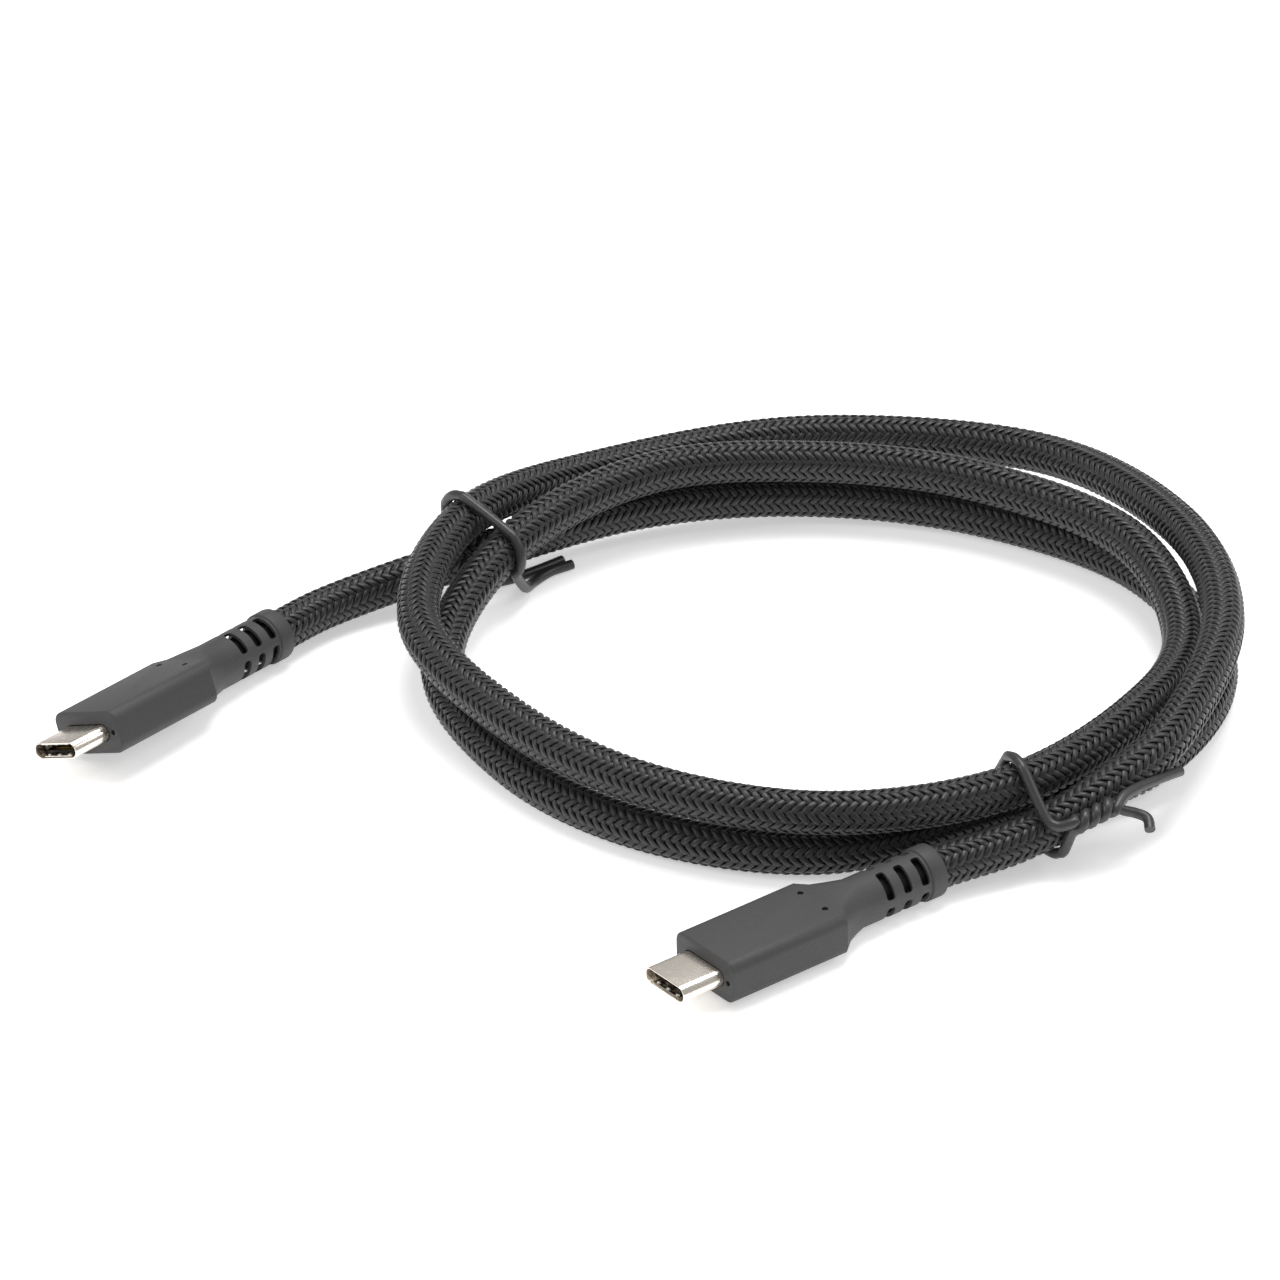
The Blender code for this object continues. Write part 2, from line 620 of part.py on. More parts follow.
def overmould_sections():
    """The overmould's outlines from the boot's end to the grip's front, each with its place along X."""
    boot = BOOT_DIAMETER
    ring = RING_DIAMETER
    slim_edge = GRIP_CORNER - GRIP_EDGE
    return [
        (0.0, round_outline(ring - RING_RIM)),
        (RING_RIM, round_outline(ring)),
        (RING_LENGTH - RING_RIM, round_outline(ring)),
        (RING_LENGTH, round_outline(boot)),
        (BOOT_LENGTH, round_outline(boot)),
        (BOOT_LENGTH + 0.45 * NECK_LENGTH,
         rounded_outline(1.2 * boot, 0.95 * boot, 0.4 * boot, CORNER_STEPS)),
        (BOOT_LENGTH + 0.8 * NECK_LENGTH,
         rounded_outline(0.84 * GRIP_WIDTH, GRIP_HEIGHT, 1.5 * GRIP_CORNER, CORNER_STEPS)),
        (GRIP_BACK + 0.4, rounded_outline(GRIP_WIDTH, GRIP_HEIGHT, GRIP_CORNER, CORNER_STEPS)),
        (PLUG_FACE - GRIP_EDGE, rounded_outline(GRIP_WIDTH, GRIP_HEIGHT, GRIP_CORNER, CORNER_STEPS)),
        (PLUG_FACE, rounded_outline(GRIP_WIDTH - 2 * GRIP_EDGE, GRIP_HEIGHT - 2 * GRIP_EDGE, slim_edge,
                                    CORNER_STEPS)),
    ]


def build_overmould(name, group, tools, parent):
    body = place(name + "_overmould", loft_mesh("overmould", overmould_sections()), group, parent, "moulding")
    half = SHIELD_WIDTH / 2 + FIT
    room = SHIELD_HEIGHT / 2 + FIT
    pocket = block_mesh("pocket", (SHIELD_BACK - 2 * FIT, -half, -room), (SHIELD_FRONT + FIT, half, room))
    cut(body, pocket, tools, parent)
    tall = SHELL_HEIGHT + 2 * FIT
    slot = rounded_outline(SHELL_WIDTH + 2 * FIT, tall, tall / 2 - ROUND_TRIM, 5)
    cut(body, section_mesh("front", slot, SHIELD_FRONT - PAST, PLUG_FACE + PAST), tools, parent)
    collar = CABLE_DIAMETER / 2 - SLEEVE_WALL - LAYER_GAP + 2 * FIT + FERRULE_WALL
    cut(body, rod_mesh("collar", collar, SLEEVE_INSET - PAST, SHIELD_BACK + PAST, 16), tools, parent)
    cut(body, rod_mesh("bore", CABLE_DIAMETER / 2 + FIT, -PAST, SLEEVE_INSET + FIT, 20), tools, parent)
    cut(body, window_mesh(), tools, parent)
    for side in (-1, 1):
        pin = rod_mesh("pin_hole", PIN_HOLE_DIAMETER / 2, -PIN_HOLE_DEPTH, PAST, 10)
        pin.transform(Matrix.Rotation(math.radians(-90), 4, "Y"))
        spot = Vector((GRIP_BACK + PIN_HOLE_SETBACK, side * PIN_HOLE_SPACING / 2, GRIP_HEIGHT / 2))
        pin.transform(Matrix.Translation(spot * MM))
        cut(body, pin, tools, parent)


def build_plug(name, group, tools):
    matrix = plug_matrix(PLUGS[name])
    frame = bpy.data.objects.new(name + "_frame", None)
    frame.location = matrix.translation * MM
    frame.rotation_euler = matrix.to_euler()
    group.objects.link(frame)
    build_shell(name, group, tools, frame)
    build_insulator(name, group, tools, frame)
    build_contacts(name, group, frame)
    build_ground_springs(name, group, frame)
    build_latch(name, group, frame)
    build_card(name, group, frame)
    build_shield(name, group, tools, frame)
    build_ferrule(name, group, tools, frame)
    build_wires(name, matrix, group)
    build_overmould(name, group, tools, frame)


# Ties


def strands_at(tie):
    """Where the cable's strands cross a tie's plane, as (across, height) from its middle."""
    across = Vector((*tie["across"], 0)).normalized()
    normal = Vector((-across.y, across.x, 0))
    middle = Vector((*tie["middle"], 0))
    path = shown_points()
    found = []
    for a, b in zip(path, path[1:]):
        start = (a - middle).dot(normal)
        end = (b - middle).dot(normal)
        if start * end < 0:
            point = a.lerp(b, start / (start - end))
            offset = (point - middle).dot(across)
            if abs(offset) < TIE_REACH:
                found.append(Vector((offset, point.z)))
    return found


def tie_points(tie):
    """A tie's whole route: first tail, a snug loop round the strands, second tail."""
    across = Vector((*tie["across"], 0)).normalized()
    normal = Vector((-across.y, across.x, 0))
    middle = Vector((*tie["middle"], 0))
    strands = strands_at(tie)
    reach = (CABLE_DIAMETER + TIE_DIAMETER) / 2 + 4 * FIT
    floor = TIE_DIAMETER / 2 + SEAT
    loop = []
    opens, closes = tie["loop_deg"]
    for step in range(TIE_LOOP_STEPS + 1):
        share = step / TIE_LOOP_STEPS
        angle = math.radians(opens + (closes - opens) * share)
        outward = Vector((math.cos(angle), math.sin(angle)))
        edge = max(strands, key=outward.dot) + reach * outward
        along = (share - 0.5) * TIE_LOOP_OFFSET
        loop.append(middle + edge.x * across + along * normal + Vector((0, 0, max(edge.y, floor))))
    first = [Vector(point) for point in tie["tail_start"]]
    last = [Vector(point) for point in tie["tail_end"]]
    return smooth_points([*first, *loop, *last], TIE_SPACING)


def build_ties(group):
    for label, tie in TIES.items():
        points = tie_points(tie)
        tube(f"{label}_tie_coating", points, TIE_DIAMETER / 2, group, "tie_plastic", TIE_WALL, 1)
        tube(f"{label}_tie_wire", points, TIE_WIRE_DIAMETER / 2, group, "tie_steel", None, 0)


def main():
    clear_scene()
    add_finishes()
    group = new_collection("charging_cable")
    tools = new_collection("cutters")
    build_cable(group)
    for name in PLUGS:
        build_plug(name, group, tools)
    build_ties(group)


main()
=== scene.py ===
"""Looks for a braided charging cable that lies in a loose coil, held by two twist ties.

Lengths in the classes are millimetres and angles are degrees unless a name says otherwise. Meshes are
made in metres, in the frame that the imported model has.
"""
import logging
import math
from dataclasses import dataclass, field
from enum import Enum
from typing import Any, Optional, Sequence

import bmesh
import bpy
from mathutils import Euler, Matrix, Vector


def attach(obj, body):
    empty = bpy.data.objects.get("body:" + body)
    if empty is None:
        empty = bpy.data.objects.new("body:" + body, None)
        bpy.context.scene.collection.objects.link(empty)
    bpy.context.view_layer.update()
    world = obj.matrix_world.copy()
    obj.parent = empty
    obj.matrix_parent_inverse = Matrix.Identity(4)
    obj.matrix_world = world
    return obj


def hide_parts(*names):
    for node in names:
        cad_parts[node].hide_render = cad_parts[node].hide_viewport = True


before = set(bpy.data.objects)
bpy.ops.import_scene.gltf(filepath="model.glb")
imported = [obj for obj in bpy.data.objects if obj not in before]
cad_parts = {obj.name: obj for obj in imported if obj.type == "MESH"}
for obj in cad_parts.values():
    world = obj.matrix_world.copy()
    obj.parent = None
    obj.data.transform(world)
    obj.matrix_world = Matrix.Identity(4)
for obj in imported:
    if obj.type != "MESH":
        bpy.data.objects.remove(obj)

LOG = logging.getLogger("charging_cable")
MM = 0.001
CABLE_BODY = "cable"
SMOOTH_ANGLE_DEG = 32.0
TUBE_SMOOTH_ANGLE_DEG = 50.0
TUBE_BEVEL_RESOLUTION = 3
LENGTH_TOLERANCE = 1e-7
# The share of a pattern's height that its colour and gloss run over.
PATTERN_LOW = 0.3
PATTERN_HIGH = 0.7

Outline = list[tuple[float, float]]
Section = tuple[float, Outline]


# Small helpers


def linear(hex_colour: str) -> tuple[float, float, float, float]:
    """Turns an sRGB hex colour into linear RGBA.

    Args:
        hex_colour: Six hex digits after a hash sign.

    Returns:
        Red, green, blue and an opaque alpha.
    """
    parts = [int(hex_colour[i:i + 2], 16) / 255 for i in (1, 3, 5)]
    red, green, blue = [p / 12.92 if p <= 0.04045 else ((p + 0.055) / 1.055) ** 2.4 for p in parts]
    return (red, green, blue, 1.0)


def add_node(
    tree: bpy.types.NodeTree,
    kind: str,
    inputs: Optional[dict[Any, Any]] = None,
    **settings: Any,
) -> bpy.types.Node:
    """Adds a node, sets it up and links what goes into it.

    Args:
        tree: The tree that gets the node.
        kind: Blender's name for the node's type.
        inputs: Values or sockets for its inputs, by name or by number.
        **settings: Values for the node's own settings.

    Returns:
        The new node.
    """
    node = tree.nodes.new(kind)
    for name, value in settings.items():
        setattr(node, name, value)
    for key, value in (inputs or {}).items():
        if isinstance(value, bpy.types.NodeSocket):
            tree.links.new(value, node.inputs[key])
        else:
            node.inputs[key].default_value = value
    return node


def maths(tree: bpy.types.NodeTree, operation: str, *values: Any) -> bpy.types.NodeSocket:
    """Adds a Math node with values or sockets for its inputs, and gives its result."""
    return add_node(tree, "ShaderNodeMath", dict(enumerate(values)), operation=operation).outputs[0]


def per_mm(size_mm: float) -> float:
    """Gives the texture scale, for coordinates in metres, of a pattern this many millimetres wide."""
    return 1.0 / (size_mm * MM)


def link(name: str, data: Any) -> bpy.types.Object:
    """Puts new data in the scene as an object at the origin.

    Args:
        name: The object's name.
        data: Its mesh, curve, light or camera.

    Returns:
        The new object.
    """
    item = bpy.data.objects.new(name, data)
    bpy.context.scene.collection.objects.link(item)
    return item


def spline_object(name: str, points: Sequence[Vector], radius: float = 0.0) -> bpy.types.Object:
    """Makes an open spline, round if it has a radius.

    Args:
        name: The object's name.
        points: The spline's points, in millimetres.
        radius: The tube's radius, in millimetres, or 0 for a bare line.

    Returns:
        The new object.
    """
    data = bpy.data.curves.new(name, "CURVE")
    data.dimensions = "3D"
    data.bevel_depth = radius * MM
    data.bevel_resolution = TUBE_BEVEL_RESOLUTION
    data.use_fill_caps = radius > 0
    spline = data.splines.new("POLY")
    spline.points.add(len(points) - 1)
    for point, place in zip(spline.points, points):
        point.co = (*(place * MM), 1.0)
    return link(name, data)


def baked_mesh(item: bpy.types.Object) -> bpy.types.Mesh:
    """Gives an object's evaluated shape as a plain mesh.

    Args:
        item: The object, with the modifiers or curve settings that shape it.

    Returns:
        The shape, with nothing left to evaluate.
    """
    bpy.context.view_layer.update()
    graph = bpy.context.evaluated_depsgraph_get()
    return bpy.data.meshes.new_from_object(item.evaluated_get(graph), depsgraph=graph)


def smooth_faces(mesh: bpy.types.Mesh, angle_deg: float = SMOOTH_ANGLE_DEG) -> None:
    """Shades a mesh smooth, with a sharp line where it folds by more than an angle."""
    mesh.polygons.foreach_set("use_smooth", [True] * len(mesh.polygons))
    mesh.set_sharp_from_angle(angle=math.radians(angle_deg))


# Finishes


class Pattern(Enum):
    """How a finish varies over its surface."""

    GRAIN = "grain"
    BRUSHED = "brushed"
    FIBRE = "fibre"
    SPECKLE = "speckle"


@dataclass(frozen=True)
class Finish:
    """A real material and the fine pattern that its making left on it.

    A fibre pattern is scaled by stretch alone and doesn't read grain_mm.
    """

    name: str
    slot: str
    colour: str
    shade: str
    roughness: float
    grain_mm: float
    relief_mm: float
    gloss_swing: float = 0.06
    metallic: float = 0.0
    coat: float = 0.0
    sheen: float = 0.0
    glow: float = 0.0
    pattern: Pattern = Pattern.GRAIN
    stretch: tuple[float, float, float] = (1.0, 1.0, 1.0)

    def coordinates(self, tree: bpy.types.NodeTree) -> bpy.types.NodeSocket:
        """Adds where the pattern is read: along and across a yarn, or in the piece's own space.

        Args:
            tree: The material's tree.

        Returns:
            The coordinates.
        """
        if self.pattern is Pattern.FIBRE:
            along = add_node(tree, "ShaderNodeAttribute", attribute_name="along")
            across = add_node(tree, "ShaderNodeAttribute", attribute_name="across")
            yarn = add_node(tree, "ShaderNodeAttribute", attribute_name="yarn")
            joined = add_node(tree, "ShaderNodeCombineXYZ",
                              {0: along.outputs["Fac"], 1: across.outputs["Fac"], 2: yarn.outputs["Fac"]})
            return joined.outputs[0]
        return add_node(tree, "ShaderNodeTexCoord").outputs["Object"]

    def height(self, tree: bpy.types.NodeTree) -> bpy.types.NodeSocket:
        """Adds the pattern itself, from 0 in its hollows to 1 on its tops.

        Args:
            tree: The material's tree.

        Returns:
            The pattern's height.
        """
        place = add_node(tree, "ShaderNodeMapping",
                         {"Vector": self.coordinates(tree), "Scale": self.stretch})
        if self.pattern is Pattern.SPECKLE:
            cells = add_node(tree, "ShaderNodeTexVoronoi",
                             {"Vector": place.outputs[0], "Scale": per_mm(self.grain_mm)})
            return cells.outputs["Distance"]
        scale = 1.0 if self.pattern is Pattern.FIBRE else per_mm(self.grain_mm)
        noise = add_node(tree, "ShaderNodeTexNoise",
                         {"Vector": place.outputs[0], "Scale": scale, "Detail": 3.0, "Roughness": 0.6})
        return noise.outputs["Fac"]

    def make(self) -> bpy.types.Material:
        """Builds the material.

        Returns:
            The finished material.
        """
        made = bpy.data.materials.new(self.name)
        made.use_nodes = True
        tree = made.node_tree
        tree.nodes.clear()
        height = self.height(tree)
        tint = add_node(tree, "ShaderNodeValToRGB", {"Fac": height})
        tint.color_ramp.elements[0].position = PATTERN_LOW
        tint.color_ramp.elements[0].color = linear(self.shade)
        tint.color_ramp.elements[1].position = PATTERN_HIGH
        tint.color_ramp.elements[1].color = linear(self.colour)
        gloss = add_node(tree, "ShaderNodeMapRange",
                         {"Value": height, "From Min": PATTERN_LOW, "From Max": PATTERN_HIGH,
                          "To Min": self.roughness + self.gloss_swing,
                          "To Max": self.roughness - self.gloss_swing})
        relief = add_node(tree, "ShaderNodeBump",
                          {"Height": height, "Strength": 1.0, "Distance": self.relief_mm * MM})
        shader = add_node(tree, "ShaderNodeBsdfPrincipled",
                          {"Base Color": tint.outputs["Color"], "Roughness": gloss.outputs[0],
                           "Normal": relief.outputs["Normal"], "Metallic": self.metallic,
                           "Coat Weight": self.coat, "Sheen Weight": self.sheen,
                           "Emission Color": (1.0, 1.0, 1.0, 1.0), "Emission Strength": self.glow})
        add_node(tree, "ShaderNodeOutputMaterial", {"Surface": shader.outputs[0]})
        return made


class Finishes:
    """Every finish on the cable, made once and handed out by slot."""

    # Spark-eroded soft PVC moulding: matt dark grey with a fine, even tooth.
    MOULDING = Finish("pvc_moulding", "moulding", "#424243", "#39393a", 0.6, 0.16, 0.012)
    # Bright nickel on drawn steel: warm, nearly mirror, with faint draw marks.
    NICKEL = Finish("nickel_plated_steel", "nickel_plate", "#fbf4ea", "#efe6da", 0.24, 0.35, 0.0004,
                    gloss_swing=0.05, metallic=1.0, pattern=Pattern.BRUSHED, stretch=(0.35, 1.0, 1.0))
    # Glass-filled nylon: nearly black, slightly glossy, with a cloudy flow pattern.
    INSULATOR = Finish("glass_filled_nylon", "insulator_plastic", "#1d1a18", "#141211", 0.42, 0.3, 0.003)
    # Gold flash over nickel on the contacts.
    GOLD = Finish("gold_flash", "gold_plate", "#e8c777", "#d8b25f", 0.22, 0.2, 0.0005, metallic=1.0)
    # Stamped stainless spring strip: grey, bright, with rolling marks along the strip.
    SPRING = Finish("spring_steel_strip", "spring_steel", "#d5d2cc", "#bdb9b1", 0.24, 0.25, 0.0006,
                    metallic=1.0, pattern=Pattern.BRUSHED, stretch=(0.3, 1.0, 1.0))
    # Green solder mask over glass cloth: a weave that just shows through.
    CARD = Finish("solder_masked_card", "card_green", "#1c5a33", "#134525", 0.4, 0.4, 0.006, coat=0.2)
    # Epoxy chip package: black, matt, speckled with filler.
    CHIP = Finish("epoxy_package", "chip_black", "#1c1c1c", "#101010", 0.5, 0.12, 0.004,
                  pattern=Pattern.SPECKLE)
    # Tin-plated steel can: soft grey with a spangled crystal pattern.
    TIN = Finish("tinned_steel_can", "tinned_steel", "#c9c9c5", "#a9a9a5", 0.32, 0.6, 0.0015,
                 metallic=1.0, pattern=Pattern.SPECKLE)
    # Flat nylon multifilament: near-black, silky, with fibres running along each yarn.
    YARN = Finish("nylon_multifilament", "braid_nylon", "#1d1d1e", "#0a0a0b", 0.38, 0.06, 0.03,
                  gloss_swing=0.08, sheen=0.15, pattern=Pattern.FIBRE, stretch=(0.35, 14.0, 3.7))
    # Extruded jacket under the braid: dull black, seen only as the dark between the yarns.
    JACKET = Finish("extruded_jacket", "jacket_rubber", "#050505", "#020202", 0.8, 0.4, 0.01)
    # Extruded polyethylene over the tie's wire: dark, waxy, with long die lines.
    TIE = Finish("polyethylene_coating", "tie_plastic", "#363637", "#29292a", 0.42, 0.35, 0.008, coat=0.1)
    # Coloured wire insulation, smooth and slightly waxy.
    RED = Finish("red_wire_insulation", "wire_red", "#b0201c", "#8e1714", 0.45, 0.3, 0.003)
    BLACK = Finish("black_wire_insulation", "wire_black", "#1a1a1a", "#101010", 0.45, 0.3, 0.003)
    WHITE = Finish("white_wire_insulation", "wire_white", "#dcdcd8", "#c4c4be", 0.45, 0.3, 0.003)
    BLUE = Finish("blue_wire_insulation", "wire_blue", "#1c4ea6", "#143c86", 0.45, 0.3, 0.003)

    def __init__(self) -> None:
        """Makes every material."""
        found = [value for value in vars(type(self)).values() if isinstance(value, Finish)]
        self.made = {finish.slot: finish.make() for finish in found}

    def dress(self, item: bpy.types.Object, finish: Finish) -> None:
        """Gives a new piece one finish over all of it.

        Args:
            item: The piece.
            finish: The finish, which also names the piece's slot.
        """
        item.data.materials.clear()
        item.data.materials.append(self.made[finish.slot])

    def dress_node(self, node: bpy.types.Object, finish: Finish) -> None:
        """Swaps the finish of a carried-over CAD node and leaves its mesh alone."""
        for holder in node.material_slots:
            holder.material = self.made[finish.slot]


# The cable's route


def even_points(
    points: Sequence[Vector], spacing: float, before: Optional[Vector] = None,
    after: Optional[Vector] = None, steps: int = 24,
) -> list[Vector]:
    """Lays evenly spaced points on a Catmull-Rom curve through the given ones.

    Args:
        points: The points that the curve passes through.
        spacing: The distance to leave between two points.
        before: A point that guides how the curve starts.
        after: A point that guides how the curve ends.
        steps: How finely each span is worked out.

    Returns:
        The points, with both ends kept.
    """
    before = before if before is not None else 2 * points[0] - points[1]
    after = after if after is not None else 2 * points[-1] - points[-2]
    guided = [before, *points, after]
    fine: list[Vector] = []
    for i in range(1, len(guided) - 2):
        a, b, c, d = guided[i - 1:i + 3]
        for step in range(steps):
            t = step / steps
            line = (c - a) * t
            square = (2 * a - 5 * b + 4 * c - d) * t ** 2
            cube = (3 * b - a - 3 * c + d) * t ** 3
            fine.append(0.5 * (2 * b + line + square + cube))
    fine.append(points[-1].copy())
    travelled = [0.0]
    for a, b in zip(fine, fine[1:]):
        travelled.append(travelled[-1] + (b - a).length)
    count = max(2, round(travelled[-1] / spacing))
    even: list[Vector] = []
    index = 0
    for step in range(count + 1):
        goal = travelled[-1] * step / count
        while index < len(fine) - 2 and travelled[index + 1] < goal:
            index += 1
        share = (goal - travelled[index]) / max(travelled[index + 1] - travelled[index], 1e-9)
        even.append(fine[index].lerp(fine[index + 1], min(share, 1.0)))
    return even


def path_length(points: Sequence[Vector]) -> float:
    """Adds up the distances from point to point."""
    return sum((b - a).length for a, b in zip(points, points[1:]))


@dataclass(frozen=True)
class PlugPose:
    """Where a plug's boot lets the cable out, and how the plug lies."""

    exit: tuple[float, float, float]
    heading: float
    pitch: float
    roll: float

    def matrix(self) -> Matrix:
        """Gives the plug's own frame, in millimetres."""
        turn = Euler((math.radians(self.roll), -math.radians(self.pitch), math.radians(self.heading)))
        return Matrix.Translation(self.exit) @ turn.to_matrix().to_4x4()


@dataclass(frozen=True)
class CableRoute:
    """The line that the cable follows from one boot, round the coil, to the other."""

    diameter: float = 6.0
    guide: float = 13.2
    spacing: float = 1.2
    floor_gap: float = 0.2
    exit_height: float = 3.9
    inset: float = 16.5
    coil_centre: tuple[float, float] = (24.0, 7.0)
    coil_radius: float = 48.0
    coil_start: float = 150.0
    coil_step: float = 30.0
    # Each step's distance outside the coil's radius, in cable diameters, and its level.
    coil: tuple[tuple[float, float], ...] = (
        (1.5, 0.3), (0.25, 0.25), (0.0, 0.1), (0.3, 0.0), (1.0, 0.0), (1.3, 0.0),
        (0.6, 0.05), (-0.5, 0.22), (-0.15, 0.0), (0.0, 0.0), (0.25, 0.0), (0.8, 0.2),
        (0.35, 0.95), (0.0, 1.3), (-0.3, 1.2), (0.0, 1.1), (0.6, 1.0), (0.5, 0.8),
        (0.1, 1.15), (0.05, 1.1), (0.0, 1.1), (-0.1, 1.1), (0.2, 1.15), (1.3, 1.25),
        (1.6, 1.3), (2.0, 0.5), (3.0, 0.1), (3.2, 0.35), (1.95, 1.1), (1.4, 1.4),
        (1.3, 1.3),
    )
    lead_a: tuple[tuple[float, float, float], ...] = ((-44.0, 25.0, 3.6),)
    lead_b: tuple[tuple[float, float, float], ...] = ((62.0, -33.0, 8.6), (50.5, -39.5, 5.0))

    @property
    def pose_a(self) -> PlugPose:
        """How the first plug lies."""
        return PlugPose((-52.5, 16.0, self.exit_height), heading=231.0, pitch=3.0, roll=22.0)

    @property
    def pose_b(self) -> PlugPose:
        """How the second plug lies."""
        return PlugPose((38.0, -45.5, self.exit_height), heading=218.0, pitch=0.0, roll=2.0)

    def coil_points(self) -> list[Vector]:
        """Works out the coil's points, one for each step round it.

        Returns:
            The points, in millimetres.
        """
        points = []
        for step, (offset, level) in enumerate(self.coil):
            angle = math.radians(self.coil_start - step * self.coil_step)
            distance = self.coil_radius + offset * self.diameter
            height = self.diameter / 2 + self.floor_gap + level * (self.diameter + self.floor_gap)
            points.append(Vector((self.coil_centre[0] + distance * math.cos(angle),
                                  self.coil_centre[1] + distance * math.sin(angle), height)))
        return points

    def shown(self) -> list[Vector]:
        """Lays even points between the two boots.

        Returns:
            The points, in millimetres.
        """
        first = self.pose_a.matrix()
        last = self.pose_b.matrix()
        lead_a = [Vector(point) for point in self.lead_a]
        lead_b = [Vector(point) for point in self.lead_b]
        route = [first.translation, *lead_a, *self.coil_points(), *lead_b, last.translation]
        ahead = Vector((self.guide, 0, 0))
        return even_points(route, self.spacing, first @ ahead, last @ ahead)

    def whole(self) -> list[Vector]:
        """Joins the shown points and those inside both boots.

        Returns:
            The points, in millimetres.
        """
        steps = round(self.inset / self.spacing)
        depths = [Vector((self.inset * step / steps, 0, 0)) for step in range(1, steps + 1)]
        first = [self.pose_a.matrix() @ depth for depth in depths]
        last = [self.pose_b.matrix() @ depth for depth in depths]
        return [*reversed(first), *self.shown(), *last]


# The cable


